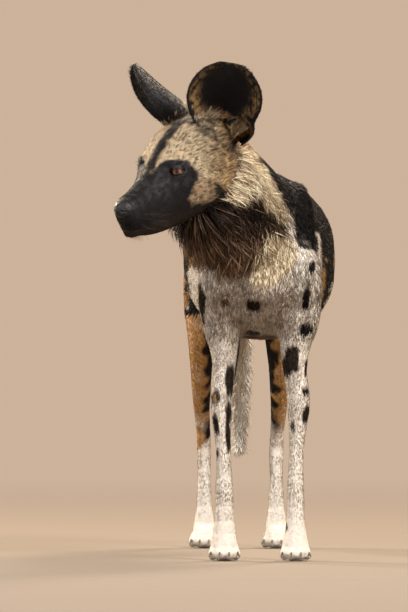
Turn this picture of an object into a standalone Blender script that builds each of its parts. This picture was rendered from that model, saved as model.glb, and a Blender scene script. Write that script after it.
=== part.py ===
"""An adult African wild dog, life size, standing still with its head turned to its right.

The flesh is lofted and lumped as one body, fused, and then parted by thin cuts into the nodes that a
person would name. The dog is laid out facing -Y with +X on its left and its front feet at y = 0, in metres,
and at the end everything is moved so that the origin is the middle of its base.
"""

import math
import random

import bmesh
import bpy
from mathutils import Matrix, Vector
from mathutils.bvhtree import BVHTree

# Driving sizes in metres.
GAP = 0.0003
SLIVER = 0.00004
HEAD_KEPT = 0.85
VOXEL = 0.0035
FLESH_TRIANGLES = 5900

HIP_SHIFT = -0.030
FRONT_STANCE = 0.0590
HIND_STANCE = 0.062
HIND_FOOT_Y = 0.562
FRONT_LEG_TOP = 0.368
HIND_LEG_TOP = 0.402

# The head is laid out level, facing -Y, with its origin midway between the eyes, and is then turned.
HEAD_PLACE = Vector((-0.1665, -0.210, 0.643))
HEAD_TURN = math.radians(-40)
HEAD_NOD = math.radians(18)
HEAD_ROLL = math.radians(4)
HEAD_POSE = (
    Matrix.Translation(HEAD_PLACE)
    @ Matrix.Rotation(HEAD_TURN, 4, "Z")
    @ Matrix.Rotation(HEAD_NOD, 4, "X")
    @ Matrix.Rotation(HEAD_ROLL, 4, "Y")
)

EYE_RADIUS = 0.0112
EYE_SIDE = 0.0340
EYE_BACK = 0.0064
EYE_RISE = 0.0010
EYE_SPLAY = math.radians(38)
LID_THICK = 0.0026
LID_REACH = {"upper": (18, 100), "lower": (-100, -20)}

ORBIT_RADII = (0.0128, 0.0125, 0.0086)
ORBIT_AHEAD = 0.0075

NOSE_PLACE = Vector((0, -0.1015, -0.0345))
NOSE_RADII = (0.0172, 0.0138, 0.0126)
NOSTRIL_SIDE = 0.0072

# The line of the mouth, from its corners to its front.
MOUTH_FRONT = 0.103
MOUTH_CORNER = 0.012
MOUTH_FRONT_DROP = -0.0650
MOUTH_CORNER_DROP = -0.0870
MOUTH_WIDE = 0.0022
MOUTH_DEEP = 0.0050

# Each ear: its root, the way it stands and the way its cup faces, level with the head.
EARS = {
    1: ((0.040, 0.112, 0.024), (0.336, 0.07, 0.94), (0.53, -0.84, -0.12)),
    -1: ((-0.034, 0.114, 0.026), (-0.42, -0.09, 0.90), (-0.565, -0.754, -0.34)),
}
EAR_LENGTH = 0.140
EAR_THICK = 0.0036
EAR_CUT = 0.030

# Long hair: rows of locks down the neck, on its throat and sides, and down the tail.
RUFF_ROWS = 6
RUFF_ROUND = 11
RUFF_SPREAD = math.radians(250)
RUFF_LENGTH = 0.066
RUFF_WIDTH = 0.021
RUFF_THICK = 0.0062
BRUSH_ROWS = 6
BRUSH_ROUND = 5
BRUSH_LENGTH = 0.078
BRUSH_WIDTH = 0.0175
BRUSH_THICK = 0.0060
CLEARANCE = 0.0016

CLAW_LENGTH = 0.0135
CLAW_RADIUS = 0.0024

FUR_BROWN = (0.16, 0.09, 0.045, 1)
FUR_WHITE = (0.62, 0.56, 0.48, 1)
FUR_BLACK = (0.018, 0.016, 0.016, 1)
FUR_GOLD = (0.50, 0.31, 0.13, 1)
CLAW_HORN = (0.10, 0.08, 0.07, 1)
IRIS_AMBER = (0.30, 0.10, 0.015, 1)


def side_name(side):
    return "left" if side > 0 else "right"


def skin_material(name, colour, roughness):
    """A plain finish for a node."""
    made = bpy.data.materials.new(name)
    made.use_nodes = True
    shader = made.node_tree.nodes["Principled BSDF"]
    shader.inputs["Base Color"].default_value = colour
    shader.inputs["Roughness"].default_value = roughness
    shader.inputs["Metallic"].default_value = 0.0
    return made


def new_object(name, bm):
    """An object from a bmesh, in the scene, with its faces turned outwards."""
    bmesh.ops.recalc_face_normals(bm, faces=bm.faces)
    mesh = bpy.data.meshes.new(name)
    bm.to_mesh(mesh)
    bm.free()
    made = bpy.data.objects.new(name, mesh)
    bpy.context.scene.collection.objects.link(made)
    return made


def settle(obj):
    """Makes the object's modifiers part of its mesh."""
    bpy.context.view_layer.update()
    graph = bpy.context.evaluated_depsgraph_get()
    mesh = bpy.data.meshes.new_from_object(obj.evaluated_get(graph))
    obj.modifiers.clear()
    obj.data = mesh
    return obj


def drop(obj):
    bpy.data.objects.remove(obj, do_unlink=True)


def copy_of(obj, name):
    made = bpy.data.objects.new(name, obj.data.copy())
    bpy.context.scene.collection.objects.link(made)
    return made


def cut(obj, tool, operation):
    """Cuts, joins or trims obj by another closed mesh."""
    step = obj.modifiers.new(operation.lower(), "BOOLEAN")
    step.operation = operation
    step.solver = "MANIFOLD"
    step.object = tool
    return settle(obj)


def unite(obj, tools):
    """Joins many closed meshes to obj in one union, and removes them."""
    group = bpy.data.collections.new("pieces")
    bpy.context.scene.collection.children.link(group)
    for tool in tools:
        bpy.context.scene.collection.objects.unlink(tool)
        group.objects.link(tool)
    step = obj.modifiers.new("union", "BOOLEAN")
    step.operation = "UNION"
    step.solver = "MANIFOLD"
    step.operand_type = "COLLECTION"
    step.collection = group
    settle(obj)
    for tool in tools:
        drop(tool)
    bpy.data.collections.remove(group)
    return obj


def keep_largest(obj):
    """Keeps only the largest closed surface of a mesh."""
    bm = bmesh.new()
    bm.from_mesh(obj.data)
    left, shells = set(bm.verts), []
    while left:
        shell, edge = set(), [left.pop()]
        while edge:
            vert = edge.pop()
            shell.add(vert)
            for near in (e.other_vert(vert) for e in vert.link_edges):
                if near in left:
                    left.remove(near)
                    edge.append(near)
        shells.append(shell)
    largest = max(shells, key=len)
    loose = [v for v in bm.verts if v not in largest]
    bmesh.ops.delete(bm, geom=loose, context="VERTS")
    bm.to_mesh(obj.data)
    bm.free()
    return obj


def ring_points(ring, sides, power=2.25):
    """The points of one egg-shaped section: a centre, two directions, and how far it reaches each way."""
    centre, across, upward, half, above, below = ring
    points = []
    for i in range(sides):
        turn = 2 * math.pi * i / sides
        c, s = math.cos(turn), math.sin(turn)
        reach = above if s > 0 else below
        a = math.copysign(abs(c) ** (2 / power), c) * half
        b = math.copysign(abs(s) ** (2 / power), s) * reach
        points.append(centre + across * a + upward * b)
    return points


def loft(bm, rings, sides=20, pose=Matrix.Identity(4)):
    """Adds a closed tube through the rings: a filled circle is moved to the first, then extruded ring by ring."""
    first = bmesh.ops.create_circle(bm, segments=sides, radius=1, cap_ends=True)["verts"]
    cap = first[0].link_faces[0]
    verts = [loop.vert for loop in cap.loops]
    for vert, point in zip(verts, ring_points(rings[0], sides)):
        vert.co = pose @ point
    for ring in rings[1:]:
        edges = [bm.edges.get((a, b)) for a, b in zip(verts, verts[1:] + verts[:1])]
        grown = bmesh.ops.extrude_edge_only(bm, edges=edges)["geom"]
        fresh = {v for v in grown if isinstance(v, bmesh.types.BMVert)}
        verts = [next(e.other_vert(v) for e in v.link_edges if e.other_vert(v) in fresh) for v in verts]
        for vert, point in zip(verts, ring_points(ring, sides)):
            vert.co = pose @ point
    bmesh.ops.contextual_create(bm, geom=verts)


def lump(bm, centre, radii, turn=(0, 0, 0), pose=Matrix.Identity(4), fine=3):
    """Adds a ball drawn out to three radii, turned by degrees about X, Y and Z."""
    turned = Matrix.Identity(4)
    for axis, degrees in zip("XYZ", turn):
        turned = Matrix.Rotation(math.radians(degrees), 4, axis) @ turned
    place = pose @ Matrix.Translation(centre) @ turned @ Matrix.Diagonal((*radii, 1))
    bmesh.ops.create_icosphere(bm, subdivisions=fine, radius=1, matrix=place)


# Torso: y, x, half width, top, height of the widest place, bottom.
TORSO = (
    (-0.072, 0.000, 0.030, 0.535, 0.490, 0.455),
    (-0.052, 0.000, 0.060, 0.590, 0.490, 0.415),
    (-0.010, 0.001, 0.080, 0.636, 0.490, 0.383),
    (0.045, 0.003, 0.089, 0.648, 0.490, 0.368),
    (0.110, 0.004, 0.106, 0.640, 0.490, 0.362),
    (0.180, 0.004, 0.124, 0.634, 0.492, 0.360),
    (0.255, 0.002, 0.131, 0.630, 0.494, 0.362),
    (0.330, -0.006, 0.124, 0.627, 0.495, 0.376),
    (0.405, -0.016, 0.104, 0.624, 0.500, 0.406),
    (0.475, -0.026, 0.090, 0.612, 0.505, 0.432),
    (0.535, -0.030, 0.077, 0.592, 0.500, 0.440),
    (0.580, -0.030, 0.057, 0.564, 0.495, 0.450),
    (0.602, -0.030, 0.028, 0.532, 0.495, 0.470),
)


def torso_flesh(bm):
    """The trunk, with its shoulder blades, upper arms, ribs and hips."""
    across, upward = Vector((1, 0, 0)), Vector((0, 0, 1))
    rings = [
        (Vector((x, y, wide_z)), across, upward, half, top - wide_z, wide_z - bottom)
        for y, x, half, top, wide_z, bottom in TORSO
    ]
    loft(bm, rings, 28)
    for side in (1, -1):
        lump(bm, (side * 0.062, 0.035, 0.545), (0.032, 0.055, 0.088), (-18, 0, 0))
        lump(bm, (side * 0.071, -0.008, 0.465), (0.034, 0.052, 0.070), (24, 0, 0))
        lump(bm, (side * 0.079, 0.035, 0.425), (0.025, 0.046, 0.068), (-12, 0, 0))
        lump(bm, (HIP_SHIFT + side * 0.056, 0.515, 0.500), (0.044, 0.080, 0.082), (20, 0, 0))
    lump(bm, (0, -0.040, 0.470), (0.050, 0.036, 0.060))


# Neck, from inside the skull to inside the chest: place, half width, reach to the nape, reach to the throat.
NECK = (
    ((-0.108, -0.150, 0.694), 0.050, 0.052, 0.052),
    ((-0.094, -0.125, 0.676), 0.061, 0.063, 0.074),
    ((-0.072, -0.082, 0.642), 0.068, 0.068, 0.090),
    ((-0.044, -0.040, 0.606), 0.073, 0.072, 0.100),
    ((-0.018, 0.004, 0.572), 0.078, 0.076, 0.100),
    ((0.000, 0.060, 0.535), 0.082, 0.086, 0.100),
)


def neck_rings():
    """The neck's sections, each square to the line through its neighbours."""
    places = [Vector(row[0]) for row in NECK]
    rings = []
    for i, (place, half, nape, throat) in enumerate(NECK):
        along = (places[min(i + 1, len(NECK) - 1)] - places[max(i - 1, 0)]).normalized()
        upward = (Vector((0, 0, 1)) - along * along.z).normalized()
        rings.append((Vector(place), upward.cross(along), upward, half, nape, throat))
    return rings


# Head, level: distance ahead of the eyes, half width, top, height of the widest place, bottom.
HEAD = (
    (0.1060, 0.0150, -0.030, -0.046, -0.064),
    (0.1005, 0.0215, -0.020, -0.047, -0.077),
    (0.0870, 0.0265, -0.015, -0.048, -0.088),
    (0.0640, 0.0290, -0.010, -0.050, -0.094),
    (0.0420, 0.0325, -0.003, -0.046, -0.098),
    (0.0200, 0.0385, 0.012, -0.036, -0.100),
    (0.0000, 0.0480, 0.029, -0.028, -0.100),
    (-0.0220, 0.0590, 0.043, -0.024, -0.098),
    (-0.0480, 0.0650, 0.054, -0.020, -0.096),
    (-0.0740, 0.0650, 0.060, -0.014, -0.090),
    (-0.1000, 0.0600, 0.060, -0.006, -0.076),
    (-0.1250, 0.0490, 0.050, 0.000, -0.060),
    (-0.1430, 0.0320, 0.032, 0.002, -0.036),
)


def head_flesh(bm):
    """The skull, muzzle, brows, cheeks and lips, laid out level and then posed."""
    across, upward = Vector((1, 0, 0)), Vector((0, 0, 1))
    rings = [
        (Vector((0, -ahead, wide_z)), across, upward, half, top - wide_z, wide_z - bottom)
        for ahead, half, top, wide_z, bottom in HEAD
    ]
    loft(bm, rings, 28, HEAD_POSE)
    for side in (1, -1):
        lump(bm, (side * 0.028, 0.008, 0.0150), (0.0165, 0.020, 0.0110), (0, side * 18, 0), HEAD_POSE)
        lump(bm, (side * 0.052, 0.050, -0.034), (0.0175, 0.036, 0.036), (0, 0, side * -12), HEAD_POSE)
        lump(bm, (side * 0.0420, 0.020, -0.022), (0.0120, 0.036, 0.0120), (0, 0, side * -22), HEAD_POSE)
        lump(bm, (side * 0.0165, -0.084, -0.052), (0.0115, 0.017, 0.0150), (0, 0, side * 12), HEAD_POSE)
        lump(bm, (side * 0.0215, -0.056, -0.060), (0.0085, 0.036, 0.0130), (0, 0, side * -8), HEAD_POSE)
        lump(bm, (side * 0.040, 0.108, 0.018), (0.024, 0.024, 0.026), (0, 0, 0), HEAD_POSE)
    lump(bm, (0, -0.092, -0.080), (0.0170, 0.0120, 0.0090), (0, 0, 0), HEAD_POSE)


# Front leg: height, sideways shift from the foot, y, half width, reach ahead, reach behind.
FRONT_LEG = (
    (0.500, 0.008, -0.010, 0.034, 0.050, 0.050),
    (0.450, 0.010, 0.000, 0.038, 0.050, 0.052),
    (0.405, 0.008, 0.014, 0.036, 0.042, 0.046),
    (0.370, 0.002, 0.024, 0.0320, 0.036, 0.040),
    (0.340, -0.002, 0.026, 0.0262, 0.031, 0.034),
    (0.310, -0.001, 0.023, 0.0212, 0.027, 0.026),
    (0.278, 0.004, 0.019, 0.0224, 0.0255, 0.0215),
    (0.245, 0.005, 0.015, 0.0212, 0.0225, 0.0190),
    (0.210, 0.003, 0.011, 0.0168, 0.0180, 0.0165),
    (0.175, 0.001, 0.007, 0.0150, 0.0155, 0.0150),
    (0.145, 0.000, 0.004, 0.0156, 0.0160, 0.0165),
    (0.118, 0.000, 0.001, 0.0176, 0.0185, 0.0190),
    (0.092, 0.000, -0.001, 0.0168, 0.0160, 0.0170),
    (0.066, 0.000, -0.006, 0.0175, 0.0150, 0.0140),
    (0.044, 0.000, -0.012, 0.0205, 0.0165, 0.0160),
    (0.026, 0.000, -0.018, 0.0235, 0.0190, 0.0190),
)

# Hind leg, from the croup to the foot, in the same columns.
HIND_LEG = (
    (0.560, 0.000, -0.060, 0.030, 0.060, 0.060),
    (0.500, -0.004, -0.064, 0.040, 0.078, 0.078),
    (0.450, 0.000, -0.074, 0.0385, 0.078, 0.086),
    (0.400, 0.003, -0.084, 0.0330, 0.068, 0.082),
    (0.355, 0.004, -0.080, 0.0260, 0.054, 0.062),
    (0.315, 0.005, -0.056, 0.0210, 0.046, 0.046),
    (0.270, 0.005, -0.020, 0.0182, 0.036, 0.036),
    (0.230, 0.004, 0.013, 0.0158, 0.027, 0.027),
    (0.195, 0.001, 0.036, 0.0145, 0.020, 0.0225),
    (0.168, 0.000, 0.046, 0.0152, 0.017, 0.0225),
    (0.140, 0.000, 0.043, 0.0145, 0.0145, 0.0175),
    (0.105, 0.000, 0.034, 0.0136, 0.0128, 0.0135),
    (0.070, 0.000, 0.024, 0.0152, 0.0135, 0.0135),
    (0.044, 0.000, 0.014, 0.0190, 0.0160, 0.0160),
    (0.026, 0.000, 0.006, 0.0220, 0.0190, 0.0190),
)

# Foot: the middle two of its four toes reach further ahead than the outer two.
TOE_SIDES = (-0.0205, -0.0072, 0.0072, 0.0205)
TOE_AHEAD = (0.0240, 0.0370, 0.0370, 0.0240)
TOE_SPLAY = (12, 3, -3, -12)


def leg_flesh(bm, table, foot):
    """A leg from its stations, which count y and sideways shift from the foot, and its paw."""
    side = math.copysign(1, foot.x - (HIP_SHIFT if foot.y > 0.3 else 0))
    across, ahead = Vector((1, 0, 0)), Vector((0, -1, 0))
    rings = [
        (Vector((foot.x + side * shift, foot.y + y, z)), across, ahead, half, front, back)
        for z, shift, y, half, front, back in table
    ]
    loft(bm, rings, 20)


def paw_flesh(bm, foot):
    """Four arched toes, the web between them and the pads, reaching a little below the floor."""
    lump(bm, foot + Vector((0, -0.012, 0.018)), (0.0245, 0.0250, 0.0200))
    lump(bm, foot + Vector((0, 0.002, 0.008)), (0.0185, 0.0165, 0.0130))
    for across, ahead, splay in zip(TOE_SIDES, TOE_AHEAD, TOE_SPLAY):
        toe = foot + Vector((across, -ahead, 0.0105))
        lump(bm, toe, (0.0079, 0.0140, 0.0115), (0, 0, splay))
        lump(bm, toe + Vector((-across * 0.10, 0.0105, 0.0085)), (0.0074, 0.0135, 0.0098), (-24, 0, splay))


# Tail core, from inside the rump to its tip: y, height, half width.
TAIL = (
    (0.560, 0.560, 0.0230),
    (0.592, 0.548, 0.0215),
    (0.612, 0.515, 0.0190),
    (0.624, 0.470, 0.0175),
    (0.631, 0.415, 0.0165),
    (0.635, 0.350, 0.0160),
    (0.636, 0.285, 0.0150),
    (0.636, 0.225, 0.0120),
    (0.635, 0.175, 0.0060),
)


def tail_rings():
    """The tail's sections, each square to the line through its neighbours."""
    places = [Vector((HIP_SHIFT, y, z)) for y, z, half in TAIL]
    across = Vector((1, 0, 0))
    rings = []
    for i, (y, z, half) in enumerate(TAIL):
        along = (places[min(i + 1, len(TAIL) - 1)] - places[max(i - 1, 0)]).normalized()
        rings.append((places[i], across, along.cross(across), half, half, half))
    return rings


def feet():
    """The four legs' names and the middles of their feet, on the floor."""
    return {
        "leg_front_left": (FRONT_LEG, Vector((FRONT_STANCE, 0.0, 0))),
        "leg_front_right": (FRONT_LEG, Vector((-FRONT_STANCE, 0.006, 0))),
        "leg_hind_left": (HIND_LEG, Vector((HIP_SHIFT + HIND_STANCE, HIND_FOOT_Y, 0))),
        "leg_hind_right": (HIND_LEG, Vector((HIP_SHIFT - HIND_STANCE, HIND_FOOT_Y + 0.010, 0))),
    }


def fine_weight(place):
    """How much of the detail a place keeps: 1 at the head and feet, 0 on the trunk."""
    near_head = 1 - max(0, min(1, ((place - HEAD_PLACE).length - 0.12) / 0.08))
    low = 1 - max(0, min(1, (place.z - 0.06) / 0.05))
    return max(near_head, low)


def fused_flesh():
    """All of the flesh as one smooth closed surface of few triangles, level under the feet."""
    bm = bmesh.new()
    torso_flesh(bm)
    loft(bm, neck_rings(), 24)
    head_flesh(bm)
    for table, foot in feet().values():
        leg_flesh(bm, table, foot)
        paw_flesh(bm, foot)
    loft(bm, tail_rings(), 12)
    body = new_object("torso", bm)
    mesher = body.modifiers.new("fuse", "REMESH")
    mesher.mode = "VOXEL"
    mesher.voxel_size = VOXEL
    settle(body)
    groups = {name: body.vertex_groups.new(name=name) for name in ("all", "trunk")}
    for vert in body.data.vertices:
        fine = fine_weight(vert.co)
        groups["all"].add([vert.index], 1.0, "REPLACE")
        groups["trunk"].add([vert.index], 1 - fine, "REPLACE")
    for group, rounds in (("all", 7), ("trunk", 26)):
        soften = body.modifiers.new("soften", "SMOOTH")
        soften.factor = 0.5
        soften.iterations = rounds
        soften.vertex_group = group
    settle(body)
    fewer = body.modifiers.new("fewer", "DECIMATE")
    fewer.use_collapse_triangulate = True
    fewer.ratio = FLESH_TRIANGLES / sum(len(face.vertices) - 2 for face in body.data.polygons)
    settle(body)
    body.vertex_groups.clear()
    return keep_largest(body)


def box_object(name, low, high, pose=Matrix.Identity(4)):
    """A closed box between two corners, in its own frame and then posed."""
    low, high = Vector(low), Vector(high)
    bm = bmesh.new()
    size = Matrix.Diagonal((*(high - low), 1))
    bmesh.ops.create_cube(bm, size=1, matrix=pose @ Matrix.Translation((low + high) / 2) @ size)
    return new_object(name, bm)


def part_off(body, name, low, high, pose=Matrix.Identity(4)):
    """Takes what lies in a box out of the body as a node of its own, leaving a thin cut between them."""
    node = copy_of(body, name)
    inner = box_object("inner", low, high, pose)
    grown = Vector((GAP, GAP, GAP))
    outer = box_object("outer", Vector(low) - grown, Vector(high) + grown, pose)
    cut(node, inner, "INTERSECT")
    cut(body, outer, "DIFFERENCE")
    drop(inner)
    drop(outer)
    keep_largest(body)
    return keep_largest(node)


def frame_of(place, upward, facing):
    """A frame at a place whose Z goes upward and whose -Y faces a given way."""
    z = Vector(upward).normalized()
    y = -(Vector(facing) - z * z.dot(Vector(facing))).normalized()
    x = y.cross(z)
    turned = Matrix((x, y, z)).transposed().to_4x4()
    return Matrix.Translation(place) @ turned


def ear_pose(side):
    """The frame of one ear: Z runs up the ear and its cup faces -Y."""
    root, upward, facing = EARS[side]
    return HEAD_POSE @ frame_of(Vector(root), upward, facing)


# Ear, from root to tip: share of its length, half width of its opening, half of the angle it curls through.
EAR = (
    (-0.06, 0.0200, 118),
    (0.06, 0.0270, 112),
    (0.18, 0.0390, 98),
    (0.32, 0.0510, 84),
    (0.46, 0.0585, 72),
    (0.60, 0.0605, 62),
    (0.73, 0.0570, 54),
    (0.84, 0.0480, 46),
    (0.92, 0.0360, 38),
    (0.98, 0.0190, 28),
)
EAR_COLUMNS = 14


def ear_point(row, column):
    """A place on the inner surface of the ear, which is an arc at each height."""
    share, half, angle = EAR[row]
    angle = math.radians(angle)
    radius = half / math.sin(min(angle, math.pi / 2))
    turn = (2 * column / EAR_COLUMNS - 1) * angle
    back = radius * (math.cos(turn) - math.cos(angle))
    lean = 0.010 * math.sin(math.pi * max(0, share))
    return Vector((radius * math.sin(turn), back - 0.3 * radius - lean, share * EAR_LENGTH))


def ear_shell(side):
    """A thin cupped ear: a grid rolled into its arcs, given its thickness, and set on the head."""
    bm = bmesh.new()
    rows = len(EAR) - 1
    bmesh.ops.create_grid(bm, x_segments=EAR_COLUMNS, y_segments=rows, size=1)
    for vert in bm.verts:
        column = round((vert.co.x + 1) / 2 * EAR_COLUMNS)
        row = round((vert.co.y + 1) / 2 * rows)
        vert.co = ear_point(row, column)
    bm.normal_update()
    bmesh.ops.solidify(bm, geom=bm.faces, thickness=EAR_THICK)
    bm.transform(ear_pose(side))
    return new_object("ear shell", bm)


def eye_pose(side):
    """The frame of one eye, which looks along its -Y."""
    place = Matrix.Translation((side * EYE_SIDE, EYE_BACK, EYE_RISE))
    return HEAD_POSE @ place @ Matrix.Rotation(side * EYE_SPLAY, 4, "Z") @ Matrix.Rotation(math.radians(4), 4, "X")


def orbit(side):
    """The shallow hollow of the face that an eye and its lids stand in."""
    bm = bmesh.new()
    lump(bm, (0, -ORBIT_AHEAD, 0), ORBIT_RADII, (0, 0, 0), eye_pose(side), 3)
    return new_object("orbit", bm)


def ball(name, pose, radius, segments=18, rings=10):
    bm = bmesh.new()
    bmesh.ops.create_uvsphere(bm, u_segments=segments, v_segments=rings, radius=radius, matrix=pose)
    return new_object(name, bm)


def lid(side, low, high):
    """One eyelid: a band of a shell round the eye, between two heights in degrees at its middle."""
    bm = bmesh.new()
    bmesh.ops.create_grid(bm, x_segments=10, y_segments=3, size=1)
    inner = EYE_RADIUS - LID_THICK
    edge, far = (low, high) if low > -90 else (high, low)
    for vert in bm.verts:
        swing = math.radians(100) * vert.co.x
        rise = (vert.co.y + 1) / 2
        near = math.radians(edge) * max(0.1, math.cos(swing * 0.98))
        pitch = near + (math.radians(far) - near) * rise
        vert.co = Vector((math.sin(swing) * math.cos(pitch), -math.cos(swing) * math.cos(pitch), math.sin(pitch)))
        vert.co *= inner
    made = bmesh.ops.solidify(bm, geom=bm.faces, thickness=0)["geom"]
    outer = {v for v in made if isinstance(v, bmesh.types.BMVert)}
    for vert in outer:
        vert.co *= (EYE_RADIUS + LID_THICK) / inner
    bm.transform(eye_pose(side))
    return new_object("lid", bm)


def mouth_groove(body):
    """A wedge that runs round the muzzle along the line of the mouth, deepest at the lips."""
    bm = bmesh.new()
    flesh = BVHTree.FromObject(body, bpy.context.evaluated_depsgraph_get())
    steps = 22
    rings = []
    for i in range(steps + 1):
        turn = math.pi * i / steps
        ahead = MOUTH_CORNER + (MOUTH_FRONT - 0.022 - MOUTH_CORNER) * math.sin(turn) ** 0.8
        share = (ahead - MOUTH_CORNER) / (MOUTH_FRONT - MOUTH_CORNER)
        drop_z = MOUTH_CORNER_DROP + (MOUTH_FRONT_DROP - MOUTH_CORNER_DROP) * share
        middle = Vector((0, -ahead, drop_z))
        way = Vector((math.cos(turn), -math.sin(turn) * (0.25 + 0.75 * share), 0)).normalized()
        start = HEAD_POSE @ (middle + way * 0.12)
        hit = flesh.ray_cast(start, (HEAD_POSE @ middle) - start)[0]
        skin = HEAD_POSE.inverted() @ hit
        ends = min(1, 6 * min(i, steps - i) / steps + 0.15)
        wide = MOUTH_WIDE * ends / 2
        outer = skin + way * 0.004
        inner = skin - way * MOUTH_DEEP * ends
        flare = wide * (MOUTH_DEEP + 0.004) / MOUTH_DEEP
        rings.append((inner, outer + Vector((0, 0, flare)), outer - Vector((0, 0, flare))))
    strips = [[bm.verts.new(HEAD_POSE @ point) for point in ring] for ring in rings]
    for a, b in zip(strips, strips[1:]):
        for j in range(3):
            bm.faces.new((a[j], b[j], b[(j + 1) % 3], a[(j + 1) % 3]))
    bm.faces.new(strips[0])
    bm.faces.new(strips[-1])
    bmesh.ops.triangulate(bm, faces=bm.faces)
    return new_object("mouth", bm)


def nose_solid(name, extra=0.0):
    """The nose leather, a rounded block, with two comma-shaped nostrils unless it is the grown copy."""
    bm = bmesh.new()
    radii = [radius + extra for radius in NOSE_RADII]
    lump(bm, NOSE_PLACE, radii, (-8, 0, 0), HEAD_POSE, 2)
    nose = new_object(name, bm)
    if extra == 0.0:
        for side in (1, -1):
            bm = bmesh.new()
            hole = NOSE_PLACE + Vector((side * NOSTRIL_SIDE, -0.0125, 0.0000))
            lump(bm, hole, (0.0034, 0.0060, 0.0030), (0, side * 30, 0), HEAD_POSE, 1)
            slit = hole + Vector((side * 0.0048, 0.0030, -0.0015))
            lump(bm, slit, (0.0046, 0.0046, 0.0016), (0, side * 24, 0), HEAD_POSE, 1)
            nostril = new_object("nostril", bm)
            cut(nose, nostril, "DIFFERENCE")
            drop(nostril)
    return nose


def claw_rings(foot, toe, extra):
    """One claw's sections: it leaves the toe forwards and curves down to a blunt tip above the floor."""
    across, ahead, splay = TOE_SIDES[toe], TOE_AHEAD[toe], math.radians(TOE_SPLAY[toe])
    forward = Vector((math.sin(-splay), -math.cos(splay), 0))
    sideways = forward.cross(Vector((0, 0, 1)))
    root = foot + Vector((across, -ahead, 0.0135)) + forward * 0.0070
    rings = []
    for share, thick in ((-0.35, 0.9), (0.1, 1.0), (0.6, 0.72), (1.0, 0.28)):
        sag = 0.0062 * max(0, share) ** 1.6
        place = root + forward * (CLAW_LENGTH * share) - Vector((0, 0, sag))
        tilt = -0.7 * max(0, share)
        upward = (Vector((0, 0, 1)) - forward * tilt).normalized()
        radius = CLAW_RADIUS * thick + extra
        rings.append((place, sideways, upward, radius * 0.8, radius, radius))
    if extra:
        stretch = (rings[-1][0] - rings[-2][0]).normalized() * extra * 2
        rings[-1] = (rings[-1][0] + stretch, *rings[-1][1:])
        rings[0] = (rings[0][0] - forward * extra * 2, *rings[0][1:])
    return rings


def claw(name, foot, toe, extra=0.0):
    bm = bmesh.new()
    loft(bm, claw_rings(foot, toe, extra), 6)
    return new_object(name, bm)


def tree_of(objects):
    """A search tree over the faces of some meshes."""
    points, faces = [], []
    for obj in objects:
        first = len(points)
        points += [vert.co.copy() for vert in obj.data.vertices]
        faces += [[first + i for i in face.vertices] for face in obj.data.polygons]
    return BVHTree.FromPolygons(points, faces)


def lock(root, outward, along, length, width, thick, rise, sag, others):
    """A flat tapered lock: it leaves its root, bends over along the coat, and ends in a thin tip."""
    place, rings = root - outward * 0.006, []
    way = (along + outward * rise).normalized()
    for step, (wide, share) in enumerate(((0.80, 0.0), (1.0, 0.34), (0.72, 0.33), (0.10, 0.33))):
        place = place + way * (length * share)
        way = (way + Vector((0, 0, -sag)) - outward * (rise * 0.35)).normalized()
        found, normal, index, distance = others.find_nearest(place)
        room = CLEARANCE + thick * wide
        if (place - found).dot(normal) < room:
            place = found + normal * room
        sideways = way.cross(outward).normalized()
        upward = sideways.cross(way)
        rings.append((place, sideways, upward, width * wide / 2, thick * wide / 2, thick * wide / 2))
    bm = bmesh.new()
    loft(bm, rings, 4)
    return new_object("lock", bm)


def ruff(neck, others):
    """The locks of the throat and the sides of the neck, row by row from the skull to the chest."""
    picker = random.Random(11)
    flesh, around = tree_of([neck]), tree_of(others)
    stations = neck_rings()
    locks = []
    for row in range(RUFF_ROWS):
        depth = 1.0 + 3.3 * row / (RUFF_ROWS - 1)
        at = min(int(depth), len(stations) - 2)
        near, far = stations[at], stations[at + 1]
        centre = near[0].lerp(far[0], depth - at)
        lie = (far[0] - near[0]).normalized()
        for i in range(RUFF_ROUND):
            offset = 0.5 if row % 2 else 0.0
            turn = ((i + offset + picker.uniform(-0.2, 0.2)) / (RUFF_ROUND - 0.5) - 0.5) * RUFF_SPREAD
            way = near[1] * math.sin(turn) - near[2] * math.cos(turn)
            hit, normal = flesh.ray_cast(centre + way * 0.3, -way)[:2]
            if hit is None or (hit - centre).length > 0.2:
                continue
            along = (lie + Vector((0, 0, -0.5 * math.cos(turn / 2)))).normalized()
            along = (along - normal * along.dot(normal)).normalized()
            size = picker.uniform(0.85, 1.15) * (1.0 - 0.35 * abs(turn) / (RUFF_SPREAD / 2))
            locks.append(lock(
                hit, normal, along, RUFF_LENGTH * size, RUFF_WIDTH * size, RUFF_THICK * size, 0.34, 0.10, around
            ))
    return locks


def brush(others):
    """The locks of the tail, which hang down round it and meet in a point below its core."""
    picker = random.Random(7)
    around = tree_of(others)
    locks = []
    for row in range(BRUSH_ROWS):
        share = row / (BRUSH_ROWS - 1)
        z = 0.455 - 0.240 * share
        upper = max(i for i in range(len(TAIL) - 1) if TAIL[i][1] >= z)
        (y_high, z_high, wide_high), (y_low, z_low, wide_low) = TAIL[upper], TAIL[upper + 1]
        blend = (z_high - z) / (z_high - z_low)
        centre = Vector((HIP_SHIFT, y_high + (y_low - y_high) * blend, z))
        radius = wide_high + (wide_low - wide_high) * blend
        lie = Vector((0, y_low - y_high, z_low - z_high)).normalized()
        for i in range(BRUSH_ROUND):
            turn = 2 * math.pi * (i + 0.5 * (row % 2) + picker.uniform(-0.15, 0.15)) / BRUSH_ROUND
            outward = Vector((math.cos(turn), math.sin(turn), 0))
            size = picker.uniform(0.88, 1.12) * (1 - 0.25 * share)
            locks.append(lock(
                centre + outward * radius, outward, lie, BRUSH_LENGTH * size, BRUSH_WIDTH * size,
                BRUSH_THICK * size, 0.20, 0.05, around
            ))
    return locks


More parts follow.
